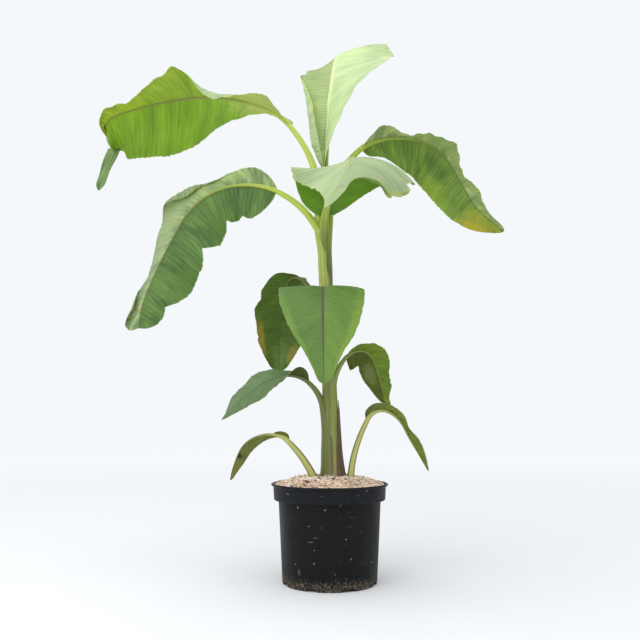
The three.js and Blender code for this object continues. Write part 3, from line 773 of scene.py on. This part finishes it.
def stalk_surface(frond):
    """The sheath, stalk and midrib of a leaf as one channelled limb, by places round and along."""
    stalk = stalk_path(frond)
    rib = midrib_path(frond)
    sheath, stalk_length, blade = frond.sheath, frond.stalk, frond.blade * RIB_SHARE
    total = sheath + stalk_length + blade
    foot_half, neck_half = (w / 2 for w in frond.widths)

    def surface(place, t):
        s = t * total - sheath  # 0 at the stalk's foot, negative on the stem
        on_stalk = stalk(s[:, 0] / stalk_length)
        on_rib = rib((s[:, 0] - stalk_length) / frond.blade)
        past = s > stalk_length
        point, along, right, up = (np.where(past, b, a)[:, None, :] for a, b in zip(on_stalk, on_rib))
        z = frond.foot[2] + np.minimum(s, 0)
        on_stem = ease(0.035, -0.085, s)
        sink = ease(-sheath * 0.45, -sheath, s) if sheath else 0 * s
        wrapped = stem_radius(z) + SHEATH_OUT - SHEATH_SINK * sink
        below = point + along * np.minimum(s, 0)[..., None]
        centre = below + (stem_axis(z) - below) * on_stem[..., None]
        neck = foot_half + (neck_half - foot_half) * np.clip(s / stalk_length, 0, 1)
        along_rib = (s - stalk_length) / blade
        taper = 1 - RIB_NARROWING * np.clip(along_rib, 0, 1) ** 0.75
        outer = neck * taper * (1 - on_stem) + wrapped * on_stem
        wall = outer * WALL_SHARE * (1 - on_stem) + SHEATH_WALL * on_stem
        open_stalk = STALK_REACH - RIB_FLATTER * ease(0, 0.15, along_rib)
        spread = np.radians(open_stalk * (1 - on_stem) + frond.wrap * on_stem)
        outside = place < ROUND_SHARE + 1e-6
        inner = (1 - 1 / LIMB_SIDES - place) / (1 - 2 / LIMB_SIDES - ROUND_SHARE)
        turn = np.where(outside, place / ROUND_SHARE, inner) * 2 - 1
        radius = np.where(outside, outer, outer - wall)
        sideways = radius * np.sin(turn * spread)
        down = radius * np.cos(turn * spread)
        return centre + right * sideways[..., None] - up * down[..., None]

    return surface, total


# ---------------------------------------------------------------- settings


def length_prop(name, description, default):
    return bpy.props.FloatProperty(
        name=name, description=description, default=default, unit="LENGTH", min=0
    )


def colour_prop(name, description, code):
    return bpy.props.FloatVectorProperty(
        name=name, description=description, default=paint(code), size=4, subtype="COLOR", min=0, max=1
    )


class BananaPotSettings(bpy.types.PropertyGroup):
    """Sizes and colours of the nursery pot."""

    height: length_prop("Height", "From the floor to the top of the lip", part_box("pot")[1].z)
    base_radius: length_prop("Base radius", "Radius of the body where it stands", 0.1115)
    body_radius: length_prop("Body radius", "Radius of the body under the band", 0.122)
    band_height: length_prop("Band height", "Height of the wide band with its lip", 0.038)
    band_radius: length_prop("Band radius", "Radius of the band at its foot", 0.133)
    lip_radius: length_prop("Lip radius", "Radius over the rolled lip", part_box("pot")[1].x)
    wall: length_prop("Wall", "Thickness of the plastic", 0.0025)
    plastic: colour_prop("Plastic", "Colour of the clean plastic", 0x090B0E)
    dust: colour_prop("Dust", "Colour of dried splashes and scuffs", 0x8A8B88)
    soil: colour_prop("Soil", "Colour of the soil stuck round the foot", 0x2C251D)


class BananaMulchSettings(bpy.types.PropertyGroup):
    """Sizes and colours of the compost and of the wood chips on it."""

    edge_height: length_prop("Edge height", "Height of the mulch at the pot's wall", 0.221)
    crown_height: length_prop("Crown height", "Height of the mulch round the stem", 0.243)
    chip_length: length_prop("Chip length", "Length of a middling wood chip", 0.0075)
    chips: bpy.props.IntProperty(name="Chips", description="Number of wood chips", default=7600, min=1)
    pale: colour_prop("Pale chips", "Colour of fresh wood", 0xFFF0E2)
    tan: colour_prop("Tan chips", "Colour of weathered wood", 0xFAE2C6)
    rust: colour_prop("Rusty chips", "Colour of reddish bark", 0xB0805C)
    dark: colour_prop("Dark chips", "Colour of dark bark and crumbs", 0x4A3122)
    compost: colour_prop("Compost", "Colour of the compost", 0x33261B)


class BananaStemSettings(bpy.types.PropertyGroup):
    """Colours of the stem, the old sheath and the stalks."""

    low: colour_prop("Foot", "Colour of the stem near the soil", 0x9A7A68)
    middle: colour_prop("Middle", "Colour of the stem half way up", 0x787C38)
    high: colour_prop("Top", "Colour of the stem under the fork", 0xA0AC54)
    stalk: colour_prop("Stalks", "Colour of the leaf stalks", 0xBED254)
    dry: colour_prop("Old sheath", "Colour of the dried old sheath", 0x6E5644)


class BananaLeafSettings(bpy.types.PropertyGroup):
    """Thickness of the blades and the colours of each leaf."""

    thickness: length_prop("Blade thickness", "Thickness of a leaf blade", 0.0006)


for frond in LEAVES:
    for side_name in ("upper", "left_upper", "under", "left_under"):
        if side_name in frond.look:
            plain = side_name.replace("_", " ")
            BananaLeafSettings.__annotations__[f"{frond.name}_{side_name}"] = colour_prop(
                f"{frond.name} {plain}", f"Colour of the {plain} side of this leaf",
                frond.look[side_name],
            )


class BananaStageSettings(bpy.types.PropertyGroup):
    """Floor, light and camera."""

    floor: colour_prop("Floor", "Colour of the floor", 0xEEEEEF)
    sky: colour_prop("Surround", "Colour of the surrounding light", 0xF5F8FB)
    sky_strength: bpy.props.FloatProperty(
        name="Surround strength", description="Brightness of the surrounding light", default=1.0, min=0
    )
    lens: bpy.props.FloatProperty(
        name="Lens", description="Focal length of the camera", default=39.375, min=1, unit="CAMERA"
    )
    camera_place: bpy.props.FloatVectorProperty(
        name="Camera place", description="Where the camera stands", default=(-0.023, -1.72, 0.375),
        size=3, subtype="TRANSLATION", unit="LENGTH",
    )
    camera_tilt: bpy.props.FloatProperty(
        name="Camera tilt", description="How far the camera looks up", default=math.radians(8.2103),
        subtype="ANGLE", unit="ROTATION",
    )


# ---------------------------------------------------------------- materials


def leaf_materials(frond, settings):
    """The upper and under materials of one leaf."""
    made = []
    look = frond.look
    tissue = bpy.data.node_groups.get("Leaf tissue") or vein_group()
    patches = bpy.data.node_groups.get("Leaf patch") or patch_group()
    for side_name in ("upper", "under"):
        colour = tuple(getattr(settings, f"{frond.name}_{side_name}"))
        left_colour = tuple(getattr(settings, f"{frond.name}_left_{side_name}", colour))
        net, inputs = new_material(f"{frond.name} {side_name}", 0.5)
        place = blade_place(net)
        across = net.axis(place, "X")
        colour = net.mix(net.step(across, 0.49, 0.51), left_colour, colour)
        result = use_group(net, tissue, {
            "Map": place, "Place": object_place(net), "Colour": colour,
            "Rib colour": paint(look["rib"]), "Margin colour": paint(look.get("margin", 0xB9C98A)),
            "Veins": float(look["veins"]), "Streaks": look.get("streaks", 0.3),
            "Rib width": RIB_WIDTH, "Lean": look.get("lean", 0.03),
        })
        tinted = result["Colour"]
        for centre, size, code, strength in look.get("patches", ()):
            tinted = use_group(net, patches, {
                "Map": place, "Under": tinted, "Colour": paint(code), "Centre": (*centre, 0),
                "Size": (*size, 1), "Strength": strength,
            })["Colour"]
        made.append(finish(net, inputs, tinted, result["Roughness"], result["Height"], 0.0016, 0.7))
        inputs["Sheen Weight"].default_value = 0.15 if side_name == "upper" else 0.0
        glow = net.vector("MULTIPLY", tinted, (1.5, 1.35, 0.9))
        let_light_through(net, inputs, look.get("through", 0.42), glow)
    return made


def stalk_material(frond, settings):
    """Stalk and midrib: yellow-green with long fibres, purplish at the foot."""
    net, inputs = new_material(f"{frond.name} stalk", 0.42)
    place = blade_place(net)
    fibres = net.noise(net.stretch(place, 26.0, 1.6), 1.0, 3.0, 0.6)
    cloud = net.noise(object_place(net), 16.0, 2.0)
    split = net.add("SeparateXYZ", {0: place}).outputs
    total = frond.sheath + frond.stalk + frond.blade
    foot = frond.sheath / total
    neck = (frond.sheath + frond.stalk) / total
    look = frond.look
    stalk_colour = paint(look["stalk"]) if "stalk" in look else tuple(settings.stalk)
    stem_colour = paint(look["sheath_tone"]) if "sheath_tone" in look else tuple(settings.middle)
    low = net.step(split["Y"], foot * 0.4, foot + 0.1)
    colour = net.mix(low, stem_colour, stalk_colour)
    colour = net.mix(net.step(split["Y"], neck, neck + 0.3), colour, paint(look["rib"]))
    dark = net.shaded(colour, (0.62, 0.62, 0.5))
    colour = net.mix(net.step(fibres, 0.62, 0.4), colour, dark)
    colour = net.mix(net.step(cloud, 0.4, 0.8, 0.0, 0.3), colour, dark)
    on_stalk = net.step(split["Y"], neck * 0.8, neck * 1.1, 1.0, 0.0)
    for centre, reach, code, strength in look.get("bands", ()):
        aside = net.math("ABSOLUTE", net.minus(split["X"], centre))
        band = net.step(net.line(fibres, reach * 0.6, aside), reach * 0.6, reach * 1.3, strength, 0.0)
        colour = net.mix(net.times(band, on_stalk), colour, paint(code))
    return finish(net, inputs, colour, net.step(fibres, 0.3, 0.7, 0.36, 0.52), fibres, 0.0004)


def strip_material():
    """The withered strip: grey-green with veins along its length."""
    net, inputs = new_material("Withered strip", 0.6)
    place = blade_place(net)
    fibres = net.noise(net.stretch(place, 16.0, 1.4), 1.0, 3.0, 0.6)
    colour = net.mix(net.step(fibres, 0.35, 0.65), paint(0x62803A), paint(0x9CB878))
    let_light_through(net, inputs, 0.35, colour)
    return finish(net, inputs, colour, relief=fibres, depth=0.001, strength=0.7)


def stem_material(settings):
    """Live sheaths: fibres, blotches, a reddish foot and painted shade on the right side high up."""
    net, inputs = new_material("Stem sheaths", 0.45)
    place = object_place(net)
    z = net.axis(place, "Z")
    fibres = net.noise(net.stretch(place, 260.0, 260.0, 3.0), 1.0, 4.0, 0.6)
    cloud = net.noise(net.stretch(place, 30.0, 30.0, 7.0), 1.0, 3.0, 0.55)
    height = net.plus(z, net.times(cloud, 0.06))
    colour = net.mix(net.step(height, 0.26, 0.39), tuple(settings.low), tuple(settings.middle))
    colour = net.mix(net.step(height, 0.5, 0.8), colour, tuple(settings.high))
    dark = net.shaded(colour, (0.5, 0.52, 0.46))
    colour = net.mix(net.step(fibres, 0.6, 0.36, 0.0, 0.75), colour, dark)
    colour = net.mix(net.step(cloud, 0.55, 0.75, 0.0, 0.5), colour, dark)
    # Painted shade: high up, the stem's right side, away from the lights, is darkened, with a ragged edge
    # along the fibres like a sheath's edge.
    lean = (STEM_TOP_X - STEM_FOOT_X) / (STEM_TOP - COMPOST_TOP)
    axis = net.line(z, lean, STEM_FOOT_X - COMPOST_TOP * lean)
    right_of = net.minus(net.axis(place, "X"), axis)
    painted_shade_right = net.step(net.line(fibres, 0.006, right_of), 0.003, 0.008, 0.0, 1.0)
    colour = net.mix(net.times(painted_shade_right, net.step(z, 0.62, 0.72)), colour, dark)
    younger = net.step(right_of, -0.002, 0.006, 0.0, 0.3)
    below = net.step(z, 0.46, 0.6, 1.0, 0.0)
    colour = net.mix(net.times(younger, below), colour, tuple(settings.high))
    return finish(net, inputs, colour, net.step(fibres, 0.3, 0.7, 0.4, 0.6), fibres, 0.0006, 0.6)


def dry_material(settings):
    """Dead sheath: brown fibres with greyish blotches."""
    net, inputs = new_material("Dry sheath", 0.7)
    place = object_place(net)
    fibres = net.noise(net.stretch(place, 420.0, 420.0, 5.0), 1.0, 5.0, 0.65)
    cloud = net.noise(net.stretch(place, 60.0, 60.0, 14.0), 1.0, 3.0)
    brown = tuple(settings.dry)
    colour = net.mix(net.step(fibres, 0.35, 0.65), net.shaded(brown, (0.45, 0.42, 0.42)), brown)
    colour = net.mix(net.step(cloud, 0.5, 0.8, 0.0, 0.6), colour, paint(0x8F8560))
    return finish(net, inputs, colour, net.step(fibres, 0.3, 0.7, 0.55, 0.8), fibres, 0.0008, 0.7)


def mark_group():
    """A small ragged mark on the front of the pot, as a mask."""
    inputs = {"Place": "Vector", "Centre": "Vector", "Size": "Vector"}
    net, given, result = new_group("Mark", inputs, {"Mask": "Float"})
    far = net.away(given["Place"], given["Centre"], given["Size"])
    ragged = net.times(net.noise(given["Place"], 420.0, 3.0, 0.7), 1.4)
    spot = net.step(net.plus(far, ragged), 1.2, 1.7, 1.0, 0.0)
    depth = net.axis(given["Place"], "Y")
    net.put(net.times(spot, net.math("LESS_THAN", depth, 0.0)), result["Mask"])
    return net.tree


def pot_material(settings):
    """Black plastic with dust, pale specks, fine scratches, a crust of soil round the foot and a painted
    bluish sheen on the band.
    """
    net, inputs = new_material("Nursery plastic", 0.5)
    place = object_place(net)
    z = net.axis(place, "Z")
    film = net.noise(net.stretch(place, 9.0, 9.0, 3.0), 1.0, 4.0, 0.6)
    grain = net.noise(place, 900.0, 2.0, 0.6)
    plastic = net.mix(net.step(film, 0.35, 0.75, 0.0, 0.55), tuple(settings.plastic), paint(0x15130F))
    crumbs = net.noise(place, 220.0, 4.0, 0.7)
    crust = net.step(net.plus(z, net.times(crumbs, -0.075)), -0.036, -0.012, 1.0, 0.0)
    soil = net.mix(net.step(crumbs, 0.4, 0.65), tuple(settings.soil), paint(0x75685A))
    # Painted sheen: over the band the plastic is lightened to a bluish grey, standing in for a reflection.
    sheen = net.times(net.step(z, 0.186, 0.192, 0.0, 0.7), net.step(film, 0.3, 0.6))
    plastic = net.mix(sheen, plastic, paint(0x14181E))
    colour = net.mix(net.times(crust, 0.85), plastic, soil)
    cells = net.add("TexVoronoi", {"Vector": place, "Scale": 85.0, "Randomness": 1.0})
    chance = net.axis(cells.outputs["Color"], "X")
    speck = net.step(cells.outputs["Distance"], 0.1, 0.2, 1.0, 0.0)
    speck = net.times(speck, net.step(chance, 0.93, 0.94))
    colour = net.mix(net.times(speck, 0.8), colour, tuple(settings.dust))
    scratch = net.noise(net.stretch(place, 40.0, 40.0, 900.0), 1.0, 1.0)
    scuff = net.times(net.step(scratch, 0.7, 0.74), net.step(film, 0.5, 0.6))
    colour = net.mix(net.times(scuff, 0.25), colour, tuple(settings.dust))
    marks = bpy.data.node_groups.get("Mark") or mark_group()
    for x, height, wide, high, strength in POT_MARKS:
        mark = use_group(net, marks, {
            "Place": place, "Centre": (x * MM, 0, height * MM), "Size": (wide * MM, 1, high * MM),
        })["Mask"]
        colour = net.mix(net.times(mark, strength), colour, tuple(settings.dust))
    rough = net.plus(net.step(film, 0.3, 0.7, 0.42, 0.6), net.times(crust, 0.3))
    height = net.plus(net.times(grain, 0.25), net.times(crust, crumbs))
    inputs["Specular IOR Level"].default_value = 0.16
    return finish(net, inputs, colour, rough, height, 0.0015, 0.45)


def wood_material(name, colour):
    """Wood of one colour with grain and a little unevenness."""
    net, inputs = new_material(name, 0.85)
    place = object_place(net)
    grain = net.noise(net.stretch(place, 900.0, 320.0, 500.0), 1.0, 3.0, 0.6)
    dark = net.shaded(tuple(colour), (0.72, 0.66, 0.58))
    grained = net.mix(net.step(grain, 0.35, 0.65), dark, tuple(colour))
    return finish(net, inputs, grained, net.step(grain, 0.3, 0.7, 0.75, 0.92), grain, 0.0004)


# ---------------------------------------------------------------- pieces


def pot_profile(pot):
    """Outside from the foot to the lip, then the inside down to the floor, as radius and height."""
    shelf, top, wall = pot.height - pot.band_height, pot.height, pot.wall
    base, body, band, edge = pot.base_radius, pot.body_radius, pot.band_radius, pot.lip_radius
    lip = top - 0.005
    return [
        (base - 0.004, 0), (base - 0.0015, 0.0004), (base, 0.0024), (base + 0.0005, 0.008),
        (base + 0.005, 0.09), (body - 0.0002, shelf - 0.004), (body, shelf - 0.001),
        (body + 0.0015, shelf), (band - 0.0015, shelf), (band, shelf + 0.0015),
        (band + 0.0018, lip - 0.0025), (band + 0.0032, lip - 0.0006), (edge - 0.0016, lip - 0.0002),
        (edge - 0.0004, lip + 0.0008), (edge, lip + 0.0023), (edge - 0.0006, lip + 0.004),
        (edge - 0.0022, top), (band + 0.0018, top - 0.0002), (band + 0.0004, top - 0.0012),
        (band - 0.0004, top - 0.004), (band - wall, shelf + wall), (body - wall, shelf),
        (base - wall, 0.0032), (base - wall - 0.002, 0.003),
    ]


class BANANA_OT_pot(bpy.types.Operator):
    """Make the nursery pot with its band, rolled lip and drain notches"""

    bl_idname = "banana.pot"
    bl_label = "Pot"

    def execute(self, context):
        pot = context.scene.banana_pot
        piece = turned("nursery_pot", pot_profile(pot), POT_SIDES)
        for k in range(NOTCHES):
            angle = (k + 0.5) * 2 * math.pi / NOTCHES
            spot = (pot.base_radius * math.cos(angle), pot.base_radius * math.sin(angle), 0)
            bpy.ops.mesh.primitive_cube_add(
                size=1, location=spot, rotation=(0, 0, angle), scale=NOTCH_SIZE
            )
            cutter = bpy.context.active_object
            apply_modifier(cutter, "BEVEL", width=0.003, segments=3)
            apply_modifier(piece, "BOOLEAN", object=cutter, operation="DIFFERENCE", solver="EXACT")
            bpy.data.objects.remove(cutter)
        smooth(piece, 32)
        hand_over(piece, "pot", [pot_material(pot)], "pot")
        return {"FINISHED"}


class BANANA_OT_compost(bpy.types.Operator):
    """Make the root ball of compost inside the pot"""

    bl_idname = "banana.compost"
    bl_label = "Compost"

    def execute(self, context):
        low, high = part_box("compost")
        foot, widening, side, steps = 0.1092, 0.0099, 0.183, 16
        profile = [(foot - 0.0007, low.z)]
        profile += [
            (foot + widening * k / steps, low.z + 0.003 + side * k / steps) for k in range(steps + 1)
        ]
        profile += [(0.129, 0.194), (0.13, high.z - 0.002), (0.1285, high.z), (0.06, high.z)]
        piece = turned("root_ball", profile, 96)
        points = coordinates(piece)
        rough = np.random.default_rng(11).uniform(0, 1, len(points)) * 0.0012
        away = points[:, :2] / np.maximum(np.linalg.norm(points[:, :2], axis=1), 1e-6)[:, None]
        points[:, :2] -= away * rough[:, None]
        place_vertices(piece, points)
        smooth(piece, 60)
        material = wood_material("Compost", context.scene.banana_mulch.compost)
        hand_over(piece, "compost", [material], "compost")
        return {"FINISHED"}


def mulch_height(radius, mulch):
    """Height of the heaped mulch at a distance from the pot's middle."""
    fall = np.clip(radius / (BED_RADIUS + 0.0004), 0, 1) ** 3
    return mulch.crown_height + (mulch.edge_height - mulch.crown_height) * fall


def lumps(x, y):
    """Gentle unevenness of the mulch, in metres."""
    return 0.0016 * (np.sin(71 * x + 1.3) * np.cos(63 * y + 0.4) + 0.7 * np.sin(131 * x - 97 * y))


def chip_arrays(count, mulch, seed, lowest, crowding):
    """Vertices and faces of wood chips strewn over the mulch: bent slivers of six corners an end."""
    draw = np.random.default_rng(seed)
    length = mulch.chip_length
    radius = (BED_RADIUS - 0.0008) * draw.uniform(0, 1, count) ** crowding
    angle = draw.uniform(0, 2 * math.pi, count)
    size = np.minimum(length * draw.lognormal(0, 0.45, count), 2.6 * length)
    radius = np.minimum(radius, BED_RADIUS - 0.0004 - 0.42 * size)
    x, y = radius * np.cos(angle), radius * np.sin(angle)
    z = mulch_height(radius, mulch) + lumps(x, y) + draw.uniform(lowest, 0.0028, count) - 0.001
    yaw = draw.uniform(0, 2 * math.pi, count)
    tilt = draw.normal(0, 0.28, count)
    roll = draw.normal(0, 0.4, count)
    wide = size * draw.uniform(0.22, 0.5, count)
    thick = np.minimum(size * draw.uniform(0.1, 0.2, count), 0.0014)
    section = np.array(CHIP_SIDES)
    rings, sides = len(CHIP_RINGS), len(section)
    local = np.zeros((count, rings, sides, 3))
    for r, end in enumerate(CHIP_RINGS):
        jitter = draw.uniform(0.7, 1.25, (count, sides))
        bend = (0, 1, 0.2)[r] * draw.uniform(-0.1, 0.16, count)
        uneven = draw.normal(0, 0.05, (count, sides)) * size[:, None]
        local[:, r, :, 0] = ((r / (rings - 1) - 0.5) * size)[:, None] + uneven
        local[:, r, :, 1] = section[:, 0] * jitter * (wide / 2 * end)[:, None]
        local[:, r, :, 2] = section[:, 1] * (thick / 2)[:, None] + (bend * size)[:, None]
    cy, sy, ct, st, cr, sr = (f(a)[:, None, None] for a in (yaw, tilt, roll) for f in (np.cos, np.sin))
    px, py, pz = local[..., 0], local[..., 1], local[..., 2]
    py, pz = py * cr - pz * sr, py * sr + pz * cr
    px, pz = px * ct - pz * st, px * st + pz * ct
    px, py = px * cy - py * sy, px * sy + py * cy
    points = np.stack([px + x[:, None, None], py + y[:, None, None], pz + z[:, None, None]], -1)
    around = [(j, (j + 1) % sides) for j in range(sides)]
    faces = [(r + a, r + b, r + sides + b, r + sides + a) for r in (0, sides) for a, b in around]
    last = 2 * sides
    faces += [(5, j, j - 1) for j in (4, 3, 2, 1)]
    faces += [(last, last + j, last + j + 1) for j in (1, 2, 3, 4)]
    all_faces = [[rings * sides * c + v for v in face] for c in range(count) for face in faces]
    return points.reshape(-1, 3), all_faces


class BANANA_OT_mulch(bpy.types.Operator):
    """Make the bed of mulch and the wood chips strewn on it"""

    bl_idname = "banana.mulch"
    bl_label = "Mulch and chips"

    def execute(self, context):
        mulch = context.scene.banana_mulch
        profile = [(BED_RADIUS - 0.0021, BED_FOOT), (BED_RADIUS - 0.0001, BED_SHOULDER)]
        rings = np.linspace(BED_RADIUS, 0.003, 46)
        profile += [(r, float(mulch_height(r, mulch)) - CHIP_DEPTH) for r in rings]
        piece = turned("mulch_bed", profile, 180)
        points = coordinates(piece)
        top = points[:, 2] > BED_SHOULDER + 0.0005
        draw = np.random.default_rng(5)
        points[top, 2] += lumps(points[top, 0], points[top, 1]) + draw.normal(0, 0.0006, top.sum())
        place_vertices(piece, points)
        smooth(piece, 60)
        hand_over(piece, "mulch", [wood_material("Mulch bed", mulch.tan)], "mulch")
        for seed, (kind, share, lowest, crowding) in enumerate(CHIP_KINDS):
            count = int(mulch.chips * share)
            points, faces = chip_arrays(count, mulch, 40 + seed, lowest, crowding)
            mesh = bpy.data.meshes.new(f"wood_chips_{kind}")
            mesh.from_pydata(points.tolist(), [], faces)
            mesh.update()
            chips = bpy.data.objects.new(mesh.name, mesh)
            context.scene.collection.objects.link(chips)
            edit_all(chips, face_outwards)
            hand_over(chips, "mulch", [wood_material(f"Wood {kind}", getattr(mulch, kind))])
        return {"FINISHED"}


class BANANA_OT_stem(bpy.types.Operator):
    """Make the stem of rolled sheaths"""

    bl_idname = "banana.stem"
    bl_label = "Stem"

    def execute(self, context):
        low = COMPOST_TOP + 0.0005

        def surface(place, t):
            z = low + (STEM_TOP - low) * t
            angle = 2 * math.pi * place
            # An oval section, fine ribs along it, and the edge of a sheath that winds up the stem.
            lobe = 1 + 0.04 * np.cos(2 * angle + z / 0.16) - 0.012
            ribs = 0.00022 * np.sin(angle * 34 + 3 * np.sin(z * 9))
            ribs = ribs + 0.00016 * np.sin(angle * 57 + 2 * np.sin(z * 14))
            spiral = (place - 0.55 * z / 0.34) % 1.0
            overlap = 0.0013 * (1 - spiral) - 0.0006
            return around_stem(z, stem_radius(z) * lobe + ribs + overlap, angle)

        piece = tube("sheathed_stem", 168, 190, surface)
        smooth(piece, 50)
        hand_over(piece, "stem", [stem_material(context.scene.banana_stem)], "stem")
        return {"FINISHED"}


class BANANA_OT_old_sheath(bpy.types.Operator):
    """Make the dry old sheath on the right of the stem's foot"""

    bl_idname = "banana.old_sheath"
    bl_label = "Old sheath"

    def execute(self, context):
        low, high = COMPOST_TOP + 0.001, OLD_SHEATH_TOP

        def surface(v, t):
            v, t = v[None, :], t[:, None]
            z = low + (high - low) * t
            # Its two edges, as angles round the stem from its right side, meet in a point at the top.
            front = keyed([-74, -68, -58, -44, -18], t)
            back = keyed([72, 64, 48, 16, -15], t)
            angle = np.radians(back + (front - back) * 0.5 * (v + 1))
            crease = 0.0005 * np.sin(angle * 16 + 2 * np.sin(z * 20)) + 0.0004 * np.sin(z * 60 + 5 * v)
            lifted = 0.0016 * np.abs(v) ** 6 * (1 - t)
            return around_stem(z, stem_radius(z) * 1.04 + 0.0016 + crease + lifted, angle)

        piece = sheet("dry_sheath", 44, 120, surface)
        edit_all(piece, face_outwards)
        apply_modifier(piece, "SOLIDIFY", thickness=0.0012, offset=0)
        smooth(piece, 50)
        hand_over(piece, "old_sheath", [dry_material(context.scene.banana_stem)], "old_sheath")
        return {"FINISHED"}


class BANANA_OT_stalks(bpy.types.Operator):
    """Make the sheath, channelled stalk and midrib of every leaf"""

    bl_idname = "banana.stalks"
    bl_label = "Stalks and midribs"

    def execute(self, context):
        for frond in LEAVES:
            surface, total = stalk_surface(frond)
            piece = tube(frond.name + "_limb", LIMB_SIDES, int(total / LIMB_ROW), surface)
            smooth(piece, 45)
            material = stalk_material(frond, context.scene.banana_stem)
            hand_over(piece, "stalk", [material], frond.name + "_stalk")
        return {"FINISHED"}


class BANANA_OT_blades(bpy.types.Operator):
    """Make the blade of every leaf"""

    bl_idname = "banana.blades"
    bl_label = "Blades"

    def execute(self, context):
        settings = context.scene.banana_leaves
        for seed, frond in enumerate(LEAVES):
            widest = max(*frond.left.widths, *frond.right.widths)
            columns = 2 * max(12, int(widest / BLADE_COLUMN))
            surface = blade_surface(frond, FIRST_SEED + seed)
            piece = sheet(frond.name + "_foliage", columns, int(frond.blade / BLADE_ROW), surface)
            for material in leaf_materials(frond, settings):
                piece.data.materials.append(material)
            apply_modifier(piece, "SOLIDIFY", thickness=settings.thickness, offset=0, material_offset=1)
            smooth(piece, 60)
            nodes = [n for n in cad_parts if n.startswith(frond.name + "_blade")]
            hand_over(piece, "new_blade" if frond.name == "leaf_top_new" else "blade", [], *nodes)
        return {"FINISHED"}


class BANANA_OT_strip(bpy.types.Operator):
    """Make the withered strip that hangs from the top left leaf's tip"""

    bl_idname = "banana.strip"
    bl_label = "Hanging strip"

    def execute(self, context):
        near_tip = blade_surface(LEAVES[0], FIRST_SEED)(np.linspace(-1, 1, 21), np.array([0.96, 1.0]))
        path = walk(near_tip[0, -2], STRIP_LENGTH, STRIP_HEADING, STRIP_PITCH)

        def surface(v, t):
            point = path(t)[0][:, None, :]
            v, t = v[None, :], t[:, None]
            width = STRIP_HALF_WIDTH * (1 - 0.45 * t) * np.clip(8 * (1 - t), 0.1, 1) ** 0.5
            roll = np.radians(50 * v)
            sideways = width * np.sin(roll)
            out = width * (1 - np.cos(roll)) * 0.5 + 0.002 * np.sin(11 * t + 2 * v)
            # Its face is turned to the front, so it spreads along X and cups along -Y.
            return point + np.stack([sideways, -out, 0 * out], -1)

        piece = sheet("leaf_top_left_ribbon", 16, 50, surface)
        apply_modifier(piece, "SOLIDIFY", thickness=context.scene.banana_leaves.thickness, offset=0)
        smooth(piece, 60)
        hand_over(piece, "blade", [strip_material()], "leaf_top_left_strip")
        return {"FINISHED"}


class BANANA_OT_stage(bpy.types.Operator):
    """Make the floor, the soft lights and the camera"""

    bl_idname = "banana.stage"
    bl_label = "Stage"

    def execute(self, context):
        stage = context.scene.banana_stage
        deselect()
        bpy.ops.mesh.primitive_circle_add(vertices=128, radius=FLOOR_RADIUS, fill_type="TRIFAN")
        floor = rename(bpy.context.active_object, "floor")
        net, inputs = new_material("Floor", 0.9)
        grain = net.noise(object_place(net), 3.0, 2.0)
        pale = tuple(stage.floor)
        near = net.mix(grain, pale, net.shaded(pale, (0.97, 0.97, 0.98)))
        far = net.step(net.size(object_place(net)), 0.6, 6.0)
        floor.data.materials.append(finish(net, inputs, net.mix(far, near, (1.0, 1.0, 1.0, 1.0))))
        world = bpy.data.worlds.new("Surround")
        world.use_nodes = True
        background = world.node_tree.nodes["Background"]
        background.inputs["Color"].default_value = tuple(stage.sky)
        background.inputs["Strength"].default_value = stage.sky_strength
        context.scene.world = world
        for name, place, size, power in LIGHTS:
            bpy.ops.object.light_add(type="AREA", location=place)
            lamp = bpy.context.active_object
            lamp.name = name
            lamp.data.size = size
            lamp.data.energy = power
            x, y, z = np.array(place) - np.array(LIGHT_AIM)
            turn = math.atan2(y, x) + math.pi / 2
            lamp.rotation_euler = (math.atan2(math.hypot(x, y), z), 0, turn)
        bpy.ops.object.camera_add(location=tuple(stage.camera_place))
        camera = bpy.context.active_object
        camera.rotation_euler = (math.pi / 2 + stage.camera_tilt, 0, 0)
        camera.data.lens = stage.lens
        context.scene.camera = camera
        context.scene.view_settings.view_transform = "Standard"
        return {"FINISHED"}


OPERATORS = (
    BANANA_OT_stage, BANANA_OT_pot, BANANA_OT_compost, BANANA_OT_mulch, BANANA_OT_stem,
    BANANA_OT_old_sheath, BANANA_OT_stalks, BANANA_OT_blades, BANANA_OT_strip,
)


class BANANA_PT_panel(bpy.types.Panel):
    """Settings and buttons of the plant"""

    bl_idname = "BANANA_PT_panel"
    bl_label = "Banana plant"
    bl_space_type = "VIEW_3D"
    bl_region_type = "UI"
    bl_category = "Banana plant"

    def draw(self, context):
        for pointer, kind in SETTINGS.items():
            box = self.layout.box()
            for name in kind.__annotations__:
                box.prop(getattr(context.scene, pointer), name)
        for operator in OPERATORS:
            self.layout.operator(operator.bl_idname)


SETTINGS = {
    "banana_pot": BananaPotSettings,
    "banana_mulch": BananaMulchSettings,
    "banana_stem": BananaStemSettings,
    "banana_leaves": BananaLeafSettings,
    "banana_stage": BananaStageSettings,
}
CLASSES = (*SETTINGS.values(), *OPERATORS, BANANA_PT_panel)


def register():
    for kind in CLASSES:
        bpy.utils.register_class(kind)
    for pointer, kind in SETTINGS.items():
        setattr(bpy.types.Scene, pointer, bpy.props.PointerProperty(type=kind))


def unregister():
    for pointer in SETTINGS:
        delattr(bpy.types.Scene, pointer)
    for kind in reversed(CLASSES):
        bpy.utils.unregister_class(kind)


def main():
    register()
    for operator in OPERATORS:
        group, name = operator.bl_idname.split(".")
        getattr(getattr(bpy.ops, group), name)()


if __name__ == "__main__":
    main()
